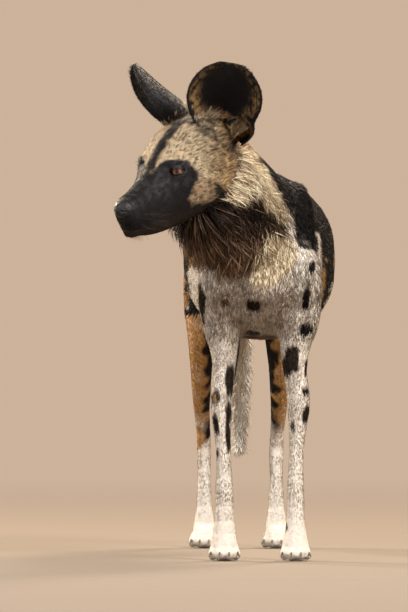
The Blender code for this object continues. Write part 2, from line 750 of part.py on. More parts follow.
def clear_of(obj, other):
    """Cuts a mesh back to a thin gap from another that its locks lie on."""
    grown = copy_of(other, "grown")
    swell = grown.modifiers.new("swell", "DISPLACE")
    swell.direction = "NORMAL"
    swell.mid_level = 0.0
    swell.strength = GAP
    settle(grown)
    cut(obj, grown, "DIFFERENCE")
    drop(grown)
    return obj


def thin_out(obj, share):
    """Drops the flattest share of a mesh's triangles, which clears the slivers that cuts leave."""
    fewer = obj.modifiers.new("fewer", "DECIMATE")
    fewer.ratio = share
    fewer.use_collapse_triangulate = True
    return settle(obj)


def dress(nodes):
    """Gives every node its finish and smooth shading."""
    coats = {
        "torso": ("coat of the torso", FUR_BROWN, 0.85),
        "neck": ("coat of the neck", FUR_GOLD, 0.85),
        "head": ("coat of the head", FUR_GOLD, 0.8),
        "ear": ("coat of the ears", FUR_BLACK, 0.8),
        "leg": ("coat of the legs", FUR_WHITE, 0.85),
        "tail": ("coat of the tail", FUR_WHITE, 0.85),
        "nose": ("nose leather", FUR_BLACK, 0.4),
        "eye": ("eye", IRIS_AMBER, 0.1),
        "claw": ("claw horn", CLAW_HORN, 0.45),
    }
    finishes = {kind: skin_material(*finish) for kind, finish in coats.items()}
    for name, node in nodes.items():
        node.data.materials.clear()
        node.data.materials.append(finishes[name.split("_")[0]])
        bm = bmesh.new()
        bm.from_mesh(node.data)
        bmesh.ops.triangulate(bm, faces=bm.faces)
        bmesh.ops.remove_doubles(bm, verts=bm.verts, dist=SLIVER)
        bmesh.ops.dissolve_degenerate(bm, edges=bm.edges, dist=SLIVER)
        bmesh.ops.triangulate(bm, faces=bm.faces)
        bmesh.ops.recalc_face_normals(bm, faces=bm.faces)
        bm.to_mesh(node.data)
        bm.free()
        node.data.shade_smooth()
        node.data.set_sharp_from_angle(angle=math.radians(50))


def stand(nodes):
    """Moves the dog so that the origin is the middle of its base, and names the nodes."""
    corners = [vert.co for node in nodes.values() for vert in node.data.vertices]
    low = Vector([min(corner[axis] for corner in corners) for axis in range(3)])
    high = Vector([max(corner[axis] for corner in corners) for axis in range(3)])
    shift = Vector((-(low.x + high.x) / 2, -(low.y + high.y) / 2, -low.z))
    for name, node in nodes.items():
        node.name = name
        node.data.name = name
        node.location = shift


def main():
    for obj in list(bpy.data.objects):
        bpy.data.objects.remove(obj, do_unlink=True)
    body = fused_flesh()
    for side in (1, -1):
        hollow = orbit(side)
        cut(body, hollow, "DIFFERENCE")
        drop(hollow)
    lids = [lid(side, *reach) for side in (1, -1) for reach in LID_REACH.values()]
    unite(body, [ear_shell(1), ear_shell(-1)] + lids)
    floor = box_object("floor", (-1, -1, -0.1), (1, 1, 0))
    cut(body, floor, "DIFFERENCE")
    drop(floor)
    groove = mouth_groove(body)
    cut(body, groove, "DIFFERENCE")
    drop(groove)
    nodes = {}
    for side in (1, -1):
        socket = ball("socket", eye_pose(side), EYE_RADIUS + GAP)
        cut(body, socket, "DIFFERENCE")
        drop(socket)
        name = "eye_" + side_name(side)
        nodes[name] = ball(name, eye_pose(side), EYE_RADIUS)
    seat = nose_solid("seat", GAP)
    cut(body, seat, "DIFFERENCE")
    drop(seat)
    nodes["nose"] = nose_solid("nose")
    for leg, (table, foot) in feet().items():
        for toe in range(4):
            name = leg.replace("leg", "claw") + "_" + str(toe + 1)
            socket = claw("socket", foot, toe, GAP)
            cut(body, socket, "DIFFERENCE")
            drop(socket)
            nodes[name] = claw(name, foot, toe)
    keep_largest(body)
    for side in (1, -1):
        name = "ear_" + side_name(side)
        nodes[name] = part_off(body, name, (-0.07, -0.05, EAR_CUT), (0.07, 0.06, 0.2), ear_pose(side))
    behind_skull = HEAD_POSE @ Matrix.Translation((0, 0.118, -0.020)) @ Matrix.Rotation(math.radians(-36), 4, "X")
    nodes["head"] = part_off(body, "head", (-0.12, -0.25, -0.25), (0.12, 0.0, 0.20), behind_skull)
    neck_foot = frame_of(Vector((-0.025, -0.008, 0.581)), (-0.42, -0.716, 0.553), (0, -0.553, -0.716))
    nodes["neck"] = part_off(body, "neck", (-0.2, -0.2, 0.0), (0.2, 0.2, 0.30), neck_foot)
    nodes["tail"] = part_off(body, "tail", (HIP_SHIFT - 0.028, 0.604, 0.10), (HIP_SHIFT + 0.028, 0.70, 0.535))
    for leg, (table, foot) in feet().items():
        front = "front" in leg
        top = FRONT_LEG_TOP if front else HIND_LEG_TOP
        span = (foot.y - 0.12, foot.y + 0.10) if front else (foot.y - 0.17, foot.y + 0.055 + 0.06)
        middle = 0.0 if front else HIP_SHIFT
        side = math.copysign(1, foot.x - middle)
        edges = sorted((middle, middle + side * 0.14))
        nodes[leg] = part_off(body, leg, (edges[0], span[0], -0.02), (edges[1], span[1], top))
    nodes["torso"] = body
    unite(nodes["neck"], ruff(nodes["neck"], [nodes["torso"], nodes["head"]]))
    for other in ("torso", "head"):
        clear_of(nodes["neck"], nodes[other])
    keep_largest(nodes["neck"])
    unite(nodes["tail"], brush([nodes["torso"], nodes["leg_hind_left"], nodes["leg_hind_right"]]))
    keep_largest(nodes["tail"])
    thin_out(nodes["head"], HEAD_KEPT)
    dress(nodes)
    stand(nodes)


main()
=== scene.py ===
"""A standing African wild dog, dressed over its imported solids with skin, coat, eyes, nose and claws."""

import math

import bmesh
import bpy
import numpy as np
from mathutils import Matrix, Vector
from mathutils.bvhtree import BVHTree


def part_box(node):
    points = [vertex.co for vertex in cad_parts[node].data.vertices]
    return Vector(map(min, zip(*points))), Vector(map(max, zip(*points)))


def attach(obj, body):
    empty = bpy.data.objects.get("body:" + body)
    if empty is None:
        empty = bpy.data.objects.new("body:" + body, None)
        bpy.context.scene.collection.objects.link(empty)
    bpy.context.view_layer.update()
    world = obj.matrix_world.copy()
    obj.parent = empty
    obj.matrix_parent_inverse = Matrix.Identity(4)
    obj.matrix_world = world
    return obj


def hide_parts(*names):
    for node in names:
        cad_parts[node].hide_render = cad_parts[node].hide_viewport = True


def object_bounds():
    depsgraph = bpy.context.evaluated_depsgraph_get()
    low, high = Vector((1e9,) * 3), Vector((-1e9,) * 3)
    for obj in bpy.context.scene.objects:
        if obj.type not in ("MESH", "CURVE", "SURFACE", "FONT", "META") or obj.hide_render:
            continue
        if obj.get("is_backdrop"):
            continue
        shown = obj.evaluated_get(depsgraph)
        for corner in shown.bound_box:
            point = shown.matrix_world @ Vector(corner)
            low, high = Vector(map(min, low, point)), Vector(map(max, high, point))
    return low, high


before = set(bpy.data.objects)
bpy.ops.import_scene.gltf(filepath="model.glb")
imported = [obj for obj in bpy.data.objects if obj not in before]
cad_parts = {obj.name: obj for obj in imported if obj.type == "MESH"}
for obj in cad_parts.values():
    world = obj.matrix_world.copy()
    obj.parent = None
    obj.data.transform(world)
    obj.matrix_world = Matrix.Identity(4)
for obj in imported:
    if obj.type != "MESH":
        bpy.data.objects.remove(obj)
cad_low, cad_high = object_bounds()

# Where the dog stands. Level, its head faces -Y with its origin between the eyes; it is turned to the
# dog's right and nods. The body's own places count from the floor between its front feet.
EYE_SETTING = Vector((0, 0.0064, 0.0010))
HEAD_FROM_FEET = Vector((-0.1665, -0.210, 0.643))
HEAD_TURN = (
    Matrix.Rotation(math.radians(-40), 4, "Z")
    @ Matrix.Rotation(math.radians(18), 4, "X")
    @ Matrix.Rotation(math.radians(4), 4, "Y")
)


def middle(node):
    low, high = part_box(node)
    return (low + high) / 2


between_eyes = (middle("eye_left") + middle("eye_right")) / 2
head_pose = Matrix.Translation(between_eyes) @ HEAD_TURN @ Matrix.Translation(-EYE_SETTING)
feet = head_pose.translation - HEAD_FROM_FEET

# The camera looks nearly level along +Y through a long lens, and its frame is 1.01 m high where the dog is.
IMAGE_WIDE, IMAGE_HIGH = 408, 612
VIEW_HIGH = 1.01
VIEW_FAR = 14.0
VIEW_RISE = math.radians(0.5)
VIEW_TARGET = feet + Vector((-0.0924, 0, 0.42))

lens = bpy.data.cameras.new("camera")
lens.sensor_width = 36
lens.lens = lens.sensor_width * VIEW_FAR / VIEW_HIGH
lens.clip_end = 200
camera = bpy.data.objects.new("camera", lens)
view_back = Vector((0, -math.cos(VIEW_RISE), math.sin(VIEW_RISE)))
camera.location = VIEW_TARGET + view_back * VIEW_FAR
camera.rotation_euler = (math.pi / 2 - VIEW_RISE, 0, 0)
bpy.context.scene.collection.objects.link(camera)
bpy.context.scene.camera = camera


# Shader maths: a socket in a wrapper that adds its own Math nodes.
class Tone:
    """A shader value that takes part in Python sums."""

    def __init__(self, tree, socket):
        self.tree = tree
        self.socket = socket

    def maths(self, operation, other, swap=False):
        node = self.tree.nodes.new("ShaderNodeMath")
        node.operation = operation
        for slot, value in zip(node.inputs, (other, self) if swap else (self, other)):
            if isinstance(value, Tone):
                self.tree.links.new(value.socket, slot)
            else:
                slot.default_value = value
        return Tone(self.tree, node.outputs[0])

    def __add__(self, other):
        return self.maths("ADD", other)

    def __mul__(self, other):
        return self.maths("MULTIPLY", other)

    def __sub__(self, other):
        return self.maths("SUBTRACT", other)

    def __rsub__(self, other):
        return self.maths("SUBTRACT", other, swap=True)

    def __pow__(self, other):
        return self.maths("POWER", other)

    __radd__ = __add__
    __rmul__ = __mul__


class Finish:
    """A material under construction: its node tree and the shader that it ends in."""

    def __init__(self, name, **constants):
        self.material = bpy.data.materials.new(name)
        self.material.use_nodes = True
        self.tree = self.material.node_tree
        self.shader = self.tree.nodes["Principled BSDF"]
        for socket, value in constants.items():
            self.shader.inputs[socket.replace("_", " ")].default_value = value

    def node(self, kind, settings=None, output=0, **sockets):
        """Adds a node, sets it up, feeds its sockets, and returns one output as a Tone."""
        made = self.tree.nodes.new("ShaderNode" + kind)
        for name, value in (settings or {}).items():
            if name == "stops":
                while len(made.color_ramp.elements) < len(value):
                    made.color_ramp.elements.new(1.0)
                for element, (place, colour) in zip(made.color_ramp.elements, value):
                    element.position = place
                    element.color = colour
            else:
                setattr(made, name, value)
        for name, value in sockets.items():
            slot = made.inputs[int(name[1:])] if name[0] == "_" else made.inputs[name.replace("_", " ")]
            if isinstance(value, Tone):
                self.tree.links.new(value.socket, slot)
            else:
                slot.default_value = value
        return Tone(self.tree, made.outputs[output])

    def places(self):
        """The piece's own places."""
        return self.node("TexCoord", output=3)

    def noise(self, scale, detail=2.0):
        """Noise on the piece's own places."""
        return self.node("TexNoise", Vector=self.places(), Scale=scale, Detail=detail)

    def mix(self, factor, first, second):
        return self.node("Mix", {"data_type": "RGBA"}, output=2, _0=factor, _6=first, _7=second)

    def feed(self, socket, tone):
        self.tree.links.new(tone.socket, self.shader.inputs[socket])


# The studio: a broad floor that fades out at its edge, a pale warm surround and four soft lights. Nothing
# here is the dog's.
FLOOR_RADIUS = 5.0
FLOOR_FADE = 1 / (FLOOR_RADIUS * 0.9)
FLOOR_DARK = (0.112, 0.088, 0.066, 1)
FLOOR_PALE = (0.126, 0.100, 0.075, 1)
SURROUND = (0.64, 0.47, 0.34, 1)
SURROUND_STRENGTH = 0.95

# Each light: its place from the dog's middle, its width, its power in watts and its colour.
LIGHTS = {
    "key": ((2.4, -2.6, 2.6), 1.6, 330, (1.0, 0.95, 0.88)),
    "fill": ((-2.2, -3.0, 1.6), 2.4, 110, (0.92, 0.95, 1.0)),
    "rim": ((1.6, 2.6, 2.6), 1.2, 260, (1.0, 0.82, 0.62)),
    "rim_left": ((-2.4, 2.2, 1.8), 1.2, 330, (1.0, 0.86, 0.68)),
}


def new_piece(name, mesh):
    """An object at the origin that holds a mesh, in the scene."""
    made = bpy.data.objects.new(name, mesh)
    bpy.context.scene.collection.objects.link(made)
    return made


def meshed(name, bm):
    """A mesh from a bmesh, which is used up."""
    mesh = bpy.data.meshes.new(name)
    bm.to_mesh(mesh)
    bm.free()
    return mesh


bm = bmesh.new()
bmesh.ops.create_circle(bm, segments=96, radius=FLOOR_RADIUS, cap_ends=True)
floor = new_piece("floor", meshed("floor", bm))
floor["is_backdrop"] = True
floor_finish = Finish("studio floor", Roughness=0.9)
grain = floor_finish.noise(0.3, 4.0)
floor_finish.feed("Base Color", floor_finish.mix(grain, FLOOR_DARK, FLOOR_PALE))
from_middle = floor_finish.node("VectorMath", {"operation": "LENGTH"}, output=1, _0=floor_finish.places())
floor_finish.feed("Alpha", (1 - from_middle * FLOOR_FADE) ** 1.5)
floor.data.materials.append(floor_finish.material)

surround = bpy.data.worlds.new("surround")
surround.use_nodes = True
background = surround.node_tree.nodes["Background"]
background.inputs["Color"].default_value = SURROUND
background.inputs["Strength"].default_value = SURROUND_STRENGTH
bpy.context.scene.world = surround
bpy.context.scene.view_settings.view_transform = "Standard"
for name, (offset, wide, power, colour) in LIGHTS.items():
    lamp = bpy.data.lights.new(name, "AREA")
    lamp.shape = "DISK"
    lamp.size = wide
    lamp.energy = power
    lamp.color = colour
    light = bpy.data.objects.new(name, lamp)
    light.location = VIEW_TARGET + Vector(offset)
    light.rotation_euler = (-Vector(offset)).to_track_quat("-Z", "Y").to_euler()
    bpy.context.scene.collection.objects.link(light)


# The skin: one closed surface that stands for all the flesh and lies under the coat. The trunk and legs, and
# the slim cores of neck and tail under their long hair, are fused at one grain, the head and its thin cupped
# ears at a finer one. Both are smoothed, drawn in by the depth of the short coat, and joined.
LEGS = ["leg_front_left", "leg_front_right", "leg_hind_left", "leg_hind_right"]
SHORT_COATED = ["torso", "head", "ear_left", "ear_right"] + LEGS
LONG_COATED = ["neck", "tail"]
TRUNK_VOXEL = 0.0022
HEAD_VOXEL = 0.0010
TRUNK_TRIANGLES = 84000
HEAD_TRIANGLES = 88000
HIP_SHIFT = -0.030
FOOT_HEIGHT = (0.08, 0.20)

# Neck core, from inside the skull to inside the chest: place, half width, reach to nape, reach to throat.
NECK = (
    ((-0.108, -0.150, 0.694), 0.050, 0.052, 0.052),
    ((-0.094, -0.125, 0.676), 0.061, 0.063, 0.074),
    ((-0.072, -0.082, 0.642), 0.068, 0.068, 0.090),
    ((-0.044, -0.040, 0.606), 0.073, 0.072, 0.100),
    ((-0.018, 0.004, 0.572), 0.078, 0.076, 0.100),
    ((0.000, 0.060, 0.535), 0.082, 0.086, 0.100),
)

# Tail core, from inside the rump to its tip: y, height, half width.
TAIL = (
    (0.560, 0.560, 0.0230),
    (0.592, 0.548, 0.0215),
    (0.612, 0.515, 0.0190),
    (0.624, 0.470, 0.0175),
    (0.631, 0.415, 0.0165),
    (0.635, 0.350, 0.0160),
    (0.636, 0.285, 0.0150),
    (0.636, 0.225, 0.0120),
    (0.635, 0.175, 0.0060),
)
NECK_LINE = [feet + Vector(row[0]) for row in NECK]
TAIL_LINE = [feet + Vector((HIP_SHIFT, y, z)) for y, z, half in TAIL]


def sections(line, reaches):
    """The centre, two directions and three reaches of each section of a bent tube."""
    made = []
    for i, (place, (half, above, below)) in enumerate(zip(line, reaches)):
        along = (line[min(i + 1, len(line) - 1)] - line[max(i - 1, 0)]).normalized()
        level = Vector((0, 0, 1)) if abs(along.z) < 0.9 else Vector((0, 1, 0))
        upward = (level - along * along.dot(level)).normalized()
        made.append((place, upward.cross(along), upward, half, above, below))
    return made


def loft(bm, rings, sides):
    """Adds a closed tube: a filled circle is moved to the first section, then extruded one by one."""
    cap = bmesh.ops.create_circle(bm, segments=sides, radius=1, cap_ends=True)["verts"][0].link_faces[0]
    verts = [loop.vert for loop in cap.loops]
    for step, (centre, across, upward, half, above, below) in enumerate(rings):
        if step:
            edges = [bm.edges.get((a, b)) for a, b in zip(verts, verts[1:] + verts[:1])]
            geometry = bmesh.ops.extrude_edge_only(bm, edges=edges)["geom"]
            fresh = {v for v in geometry if isinstance(v, bmesh.types.BMVert)}
            verts = [next(e.other_vert(v) for e in v.link_edges if e.other_vert(v) in fresh) for v in verts]
        for i, vert in enumerate(verts):
            turn = 2 * math.pi * i / sides
            reach = above if math.sin(turn) > 0 else below
            vert.co = centre + across * (half * math.cos(turn)) + upward * (reach * math.sin(turn))
    bmesh.ops.contextual_create(bm, geom=verts)


def settle(obj):
    """Makes the object's modifiers part of its mesh."""
    graph = bpy.context.evaluated_depsgraph_get()
    graph.update()
    mesh = bpy.data.meshes.new_from_object(obj.evaluated_get(graph))
    obj.modifiers.clear()
    obj.data = mesh


def merged_copy(node):
    """A bmesh copy of a node, whose loose triangles are joined."""
    bm = bmesh.new()
    bm.from_mesh(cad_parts[node].data)
    bmesh.ops.remove_doubles(bm, verts=bm.verts, dist=0.000001)
    return bm


def array_of(mesh_items, field, width, kind=np.float32):
    """One field of many mesh items as an array of rows."""
    values = np.empty(len(mesh_items) * width, kind)
    mesh_items.foreach_get(field, values)
    return values.reshape(-1, width) if width > 1 else values


def ramp(value, low, high):
    """0 below low and 1 above high, with soft ends between."""
    share = np.clip((value - low) / (high - low), 0, 1)
    return share * share * (3 - 2 * share)


def fade(value, low, high):
    """1 below low and 0 above high, with soft ends between."""
    return 1 - ramp(value, low, high)


def band(value, start, end):
    """1 between two edges and 0 outside them, each edge from where it starts to where it ends."""
    return ramp(value, *start) * fade(value, *end)


# Each ear: its root, the way it stands and the way its cup faces, level with the head. Then how far a cup is
# sunk back, in its own radii, how far it leans halfway up, its thickness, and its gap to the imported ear.
EARS = {
    "ear_left": ((0.040, 0.112, 0.024), (0.336, 0.07, 0.94), (0.53, -0.84, -0.12)),
    "ear_right": ((-0.034, 0.114, 0.026), (-0.42, -0.09, 0.90), (-0.565, -0.754, -0.34)),
}
EAR_LENGTH = 0.140
EAR_COLUMNS = 14
EAR_SINK = 0.3
EAR_LEAN = 0.010
EAR_THICK = 0.0030
EAR_SET_IN = 0.0003

# Each ear's shell, from its root to its tip: share of its length, half width of its opening, half angle of
# its curl in degrees.
EAR = (
    (-0.06, 0.0200, 118),
    (0.06, 0.0270, 112),
    (0.18, 0.0390, 98),
    (0.32, 0.0510, 84),
    (0.46, 0.0585, 72),
    (0.60, 0.0605, 62),
    (0.73, 0.0570, 54),
    (0.84, 0.0480, 46),
    (0.92, 0.0360, 38),
    (0.98, 0.0190, 28),
)

# How much wider an ear is on its outer side, low down, where its margin makes a lobe.
EAR_LOBE = 0.95
LOBE_TOP = (0.04, 0.32)


def ear_frame(name):
    """The frame of one ear: Z runs up it and its cup faces -Y."""
    root, upward, facing = (Vector(row) for row in EARS[name])
    z = upward.normalized()
    y = -(facing - z * z.dot(facing)).normalized()
    turned = Matrix((y.cross(z), y, z)).transposed().to_4x4()
    return head_pose @ Matrix.Translation(root) @ turned


# Which way along an ear's own X its inner margin lies.
EAR_INWARD = {}
for name, (root, upward, facing) in EARS.items():
    sideways = head_pose.to_3x3().inverted() @ ear_frame(name).to_3x3() @ Vector((1, 0, 0))
    EAR_INWARD[name] = -math.copysign(1, root[0]) * math.copysign(1, sideways.x)


def ear_lobe(name, across, share):
    """What an ear's width is multiplied by at a place across it and up it."""
    return 1 + EAR_LOBE * fade(share, *LOBE_TOP) * (across * EAR_INWARD[name] < 0)


def ear_shell(name):
    """The thin cup of one ear: a grid rolled into the arc of each height, rounded and thickened."""
    bm = bmesh.new()
    rows = len(EAR) - 1
    bmesh.ops.create_grid(bm, x_segments=EAR_COLUMNS, y_segments=rows, size=1)
    for vert in bm.verts:
        share, half, angle = EAR[round((vert.co.y + 1) / 2 * rows)]
        angle = math.radians(angle)
        radius = half / math.sin(min(angle, math.pi / 2))
        turn = vert.co.x * angle
        deep = radius * (math.cos(turn) - math.cos(angle)) - EAR_SINK * radius
        lean = EAR_LEAN * math.sin(math.pi * max(0, share))
        across = radius * math.sin(turn)
        vert.co = Vector((across * ear_lobe(name, across, share), deep - lean, share * EAR_LENGTH))
    bmesh.ops.recalc_face_normals(bm, faces=bm.faces)
    if bm.faces[:][len(bm.faces) // 2].normal.y < 0:
        bmesh.ops.reverse_faces(bm, faces=bm.faces)
    bm.normal_update()
    for vert in bm.verts:
        vert.co += vert.normal * EAR_SET_IN
    bm.transform(ear_frame(name))
    shell = new_piece(name + "_shell", meshed(name + "_shell", bm))
    rounded = shell.modifiers.new("rounded", "SUBSURF")
    rounded.levels = rounded.render_levels = 2
    walls = shell.modifiers.new("walls", "SOLIDIFY")
    walls.thickness = EAR_THICK
    walls.offset = 1
    settle(shell)
    return shell


def moved(places, matrix):
    """Places moved by a matrix."""
    matrix = np.array(matrix)
    return places @ matrix[:3, :3].T + matrix[:3, 3]


to_head = np.array(head_pose.inverted())


def in_head(places):
    """Places in the level head's own measure: X to the dog's left, Y back and Z up from between the eyes."""
    return moved(places, to_head)


def merged_pieces(name, nodes, extras):
    """One object of copies of some nodes and of some other meshes, which are used up."""
    bm = bmesh.new()
    for node in nodes:
        spare = meshed("spare", merged_copy(node))
        bm.from_mesh(spare)
        bpy.data.meshes.remove(spare)
    for extra in extras:
        bm.from_mesh(extra.data)
        bpy.data.objects.remove(extra)
    bmesh.ops.recalc_face_normals(bm, faces=bm.faces)
    return new_piece(name, meshed(name, bm))


def fuse(piece, voxel):
    """Makes a piece one closed surface at a grain."""
    grain = piece.modifiers.new("grain", "REMESH")
    grain.mode = "VOXEL"
    grain.voxel_size = voxel
    settle(piece)


def soften(piece, weights, rounds):
    """Smooths a piece by a weight from 0 to 1 at each point."""
    group = piece.vertex_groups.new(name="soft")
    for level in range(1, 11):
        chosen = np.flatnonzero(np.round(weights * 10) == level)
        if len(chosen):
            group.add(chosen.tolist(), level / 10, "REPLACE")
    smooth = piece.modifiers.new("smooth", "SMOOTH")
    smooth.factor = 0.5
    smooth.iterations = rounds
    smooth.vertex_group = "soft"
    settle(piece)
    piece.vertex_groups.clear()


def thin_out(piece, triangles):
    fewer = piece.modifiers.new("fewer", "DECIMATE")
    fewer.ratio = triangles / sum(len(face.vertices) - 2 for face in piece.data.polygons)
    fewer.use_collapse_triangulate = True
    settle(piece)


cores = bmesh.new()
loft(cores, sections(NECK_LINE, [row[1:] for row in NECK]), 24)
loft(cores, sections(TAIL_LINE, [(row[2],) * 3 for row in TAIL]), 14)
skin = merged_pieces("skin", ["torso"] + LEGS, [new_piece("cores", meshed("cores", cores))])
fuse(skin, TRUNK_VOXEL)
places = array_of(skin.data.vertices, "co", 3)
low = fade(places[:, 2], *FOOT_HEIGHT)
soften(skin, 1 - 0.6 * low, 7)
soften(skin, 1 - low, 70)

# The faces of the ears' shells and of the short-coated nodes, by which a place finds the part it is on.
points, faces, labelled = [], [], []


def label(name, mesh):
    """Adds a mesh's faces under the name of a part of the body."""
    first = len(points)
    points.extend(vert.co.copy() for vert in mesh.vertices)
    faces.extend([first + corner for corner in face.vertices] for face in mesh.polygons)
    labelled.extend([name] * len(mesh.polygons))


shells = [ear_shell(name) for name in EARS]
for name, shell in zip(EARS, shells):
    label(name, shell.data)
head_skin = merged_pieces("head_skin", ["head"], shells)
fuse(head_skin, HEAD_VOXEL)
soften(head_skin, np.ones(len(head_skin.data.vertices)), 5)
for node in SHORT_COATED:
    spare = meshed("spare", merged_copy(node))
    label(node, spare)
    bpy.data.meshes.remove(spare)
flesh_tree = BVHTree.FromPolygons(points, faces)
REGIONS = SHORT_COATED + LONG_COATED

# How deep the short coat is: on the trunk, on the skull, on the legs, on the face and feet, and on the ears.
DEPTH_BROAD = 0.0038
DEPTH_SKULL = 0.0020
DEPTH_LEG = 0.0018
DEPTH_FINE = 0.0012
DEPTH_EAR = 0.0004

# Where one depth turns into the next, how near the flesh a place is short coated, and where the tail starts.
LEG_HEIGHT = (0.30, 0.44)
FACE_MIDDLE = (0, 0.02, 0.0)
FACE_REACH = (0.10, 0.17)
SKULL_HEIGHT = 0.055
NOSE_REACH = (0.018, 0.030)
FLESH_NEAR = 0.009
TAIL_BEHIND = 0.5


def regions_of(places):
    """The number in REGIONS of the part of the body that each place belongs to."""
    found = np.zeros(len(places), int)
    for i, place in enumerate(places):
        point, normal, index, distance = flesh_tree.find_nearest(Vector(place))
        found[i] = REGIONS.index(labelled[index]) if distance < FLESH_NEAR else -1
    loose = np.flatnonzero(found < 0)
    behind = places[loose, 1] > feet.y + TAIL_BEHIND
    found[loose] = np.where(behind, REGIONS.index("tail"), REGIONS.index("neck"))
    return found


def is_in(regions, *names):
    return np.isin(regions, [i for i, region in enumerate(REGIONS) if region.startswith(names)])


def draw_in(piece):
    """Draws a piece in by the depth of the coat on each part of it."""
    places = array_of(piece.data.vertices, "co", 3)
    normals = array_of(piece.data.vertex_normals, "vector", 3)
    region = regions_of(places)
    head = in_head(places)
    face = fade(np.linalg.norm(head - FACE_MIDDLE, axis=1), *FACE_REACH)
    fine = np.maximum(face * is_in(region, "head"), fade(places[:, 2], *FOOT_HEIGHT))
    depth = DEPTH_BROAD + (DEPTH_FINE - DEPTH_BROAD) * fine
    depth = np.where(is_in(region, "ear"), DEPTH_EAR, depth)
    thinner = (np.minimum(depth, DEPTH_LEG) - depth) * fade(places[:, 2], *LEG_HEIGHT)
    depth = np.where(is_in(region, "leg", "torso"), depth + thinner, depth)
    on_skull = is_in(region, "head") * (head[:, 2] > SKULL_HEIGHT)
    depth = np.where(on_skull, np.minimum(depth, DEPTH_SKULL), depth)
    depth = np.where(is_in(region, "neck", "tail"), 0, depth)
    depth *= ramp(np.linalg.norm(places - np.array(middle("nose")), axis=1), *NOSE_REACH)
    places -= normals * depth[:, None]
    piece.data.vertices.foreach_set("co", places.ravel())


draw_in(skin)
draw_in(head_skin)
thin_out(skin, TRUNK_TRIANGLES)
thin_out(head_skin, HEAD_TRIANGLES)
join = skin.modifiers.new("join", "BOOLEAN")
join.operation = "UNION"
join.solver = "MANIFOLD"
join.object = head_skin
settle(skin)
bpy.data.objects.remove(head_skin)
bm = bmesh.new()
bm.from_mesh(skin.data)
bmesh.ops.triangulate(bm, faces=bm.faces)
bm.to_mesh(skin.data)
bm.free()

# The seam between the head and the neck is evened out, behind the cheeks and below the ears.
SEAM_FRONT, SEAM_BACK, SEAM_TOP = (0.075, 0.105), (0.15, 0.19), (0.03, 0.05)
level = in_head(array_of(skin.data.vertices, "co", 3))
soften(skin, band(level[:, 1], SEAM_FRONT, SEAM_BACK) * fade(level[:, 2], *SEAM_TOP), 40)
skin.data.polygons.foreach_set("use_smooth", np.ones(len(skin.data.polygons), bool))
skin.data.name = "skin"

# An unwrap of the skin's own shape, which every tuft's patch of colour is placed by.
bpy.context.view_layer.objects.active = skin
skin.select_set(True)
bpy.ops.object.mode_set(mode="EDIT")
bpy.ops.mesh.select_all(action="SELECT")
bpy.ops.uv.smart_project(angle_limit=math.radians(66), island_margin=0.002)
bpy.ops.object.mode_set(mode="OBJECT")
skin.data.uv_layers[0].name = "OFBake"

# The lie of the coat at each point of the skin, from the part of the body and then evened out.
skin_places = array_of(skin.data.vertices, "co", 3)
skin_normals = array_of(skin.data.vertex_normals, "vector", 3)
skin_regions = regions_of(skin_places)
skin_edges = array_of(skin.data.edges, "vertices", 2, np.int32)
skin_faces = array_of(skin.data.loops, "vertex_index", 1, np.int32).reshape(-1, 3)
skin_uvs = array_of(skin.data.uv_layers["OFBake"].data, "uv", 2).reshape(-1, 3, 2)
skin_tree = BVHTree.FromPolygons(skin_places.tolist(), skin_faces.tolist())


def in_ear(places, name):
    """Places in an ear's own measure, as they were before its lobe was widened."""
    ear = moved(places, ear_frame(name).inverted())
    ear[:, 0] /= ear_lobe(name, ear[:, 0], ear[:, 2] / EAR_LENGTH)
    return ear


def ear_half(height):
    """Half the width of an ear's opening at a share of its length."""
    return np.interp(height, [row[0] for row in EAR], [row[1] for row in EAR])


def ear_back(ear):
    """Which places of an ear, in its own measure, are nearer its outer side than its cup."""
    height = ear[:, 2] / EAR_LENGTH
    angle = np.radians(np.interp(height, [row[0] for row in EAR], [row[2] for row in EAR]))
    radius = ear_half(height) / np.sin(np.minimum(angle, math.pi / 2))
    lean = EAR_LEAN * np.sin(math.pi * np.clip(height, 0, 1))
    centre = -radius * np.cos(angle) - EAR_SINK * radius - lean
    return np.hypot(ear[:, 0], ear[:, 1] - centre) > radius + EAR_SET_IN + EAR_THICK / 2


# The way that hair points on the legs and at the throat, and where the breast's ends and the flank's starts.
LEG_LIE = (0, 0.3, -1)
THROAT_LIE = (0.32, 0.62, -0.72)
BREAST_BACK = (-0.03, 0.09)
FLANK_HEIGHT = (0.36, 0.50)
EVENINGS = 24


def raw_lie(places, regions):
    """The way that hair points, before it is evened out."""
    local = places - np.array(feet)
    head = in_head(places)
    lie = np.full_like(places, LEG_LIE)
    front = fade(local[:, 1], *BREAST_BACK)
    low = fade(local[:, 2], *FLANK_HEIGHT)
    flank = np.stack([0 * front, 1 - 0.9 * front, -0.45 - 0.6 * front + 0.2 * low], axis=1)
    lie = np.where(is_in(regions, "torso")[:, None], flank, lie)
    over_skull = np.stack([0.6 * head[:, 0] / 0.06, 1 + 0 * front, 1.6 * (head[:, 2] + 0.01)], axis=1)
    lie = np.where(is_in(regions, "head")[:, None], over_skull @ np.array(head_pose)[:3, :3].T, lie)
    lie = np.where(is_in(regions, "neck")[:, None], THROAT_LIE, lie)
    for name in EARS:
        ear = in_ear(places, name)
        spread = np.stack([ear[:, 0] / 0.06, 0 * ear[:, 0], 0.9 + 0 * ear[:, 0]], axis=1)
        lie = np.where(is_in(regions, name)[:, None], spread @ np.array(ear_frame(name))[:3, :3].T, lie)
    return lie


def flattened(vectors, normals):
    """Unit vectors laid down on the surface."""
    vectors = vectors - normals * np.sum(vectors * normals, axis=1, keepdims=True)
    return vectors / np.maximum(np.linalg.norm(vectors, axis=1, keepdims=True), 1e-9)


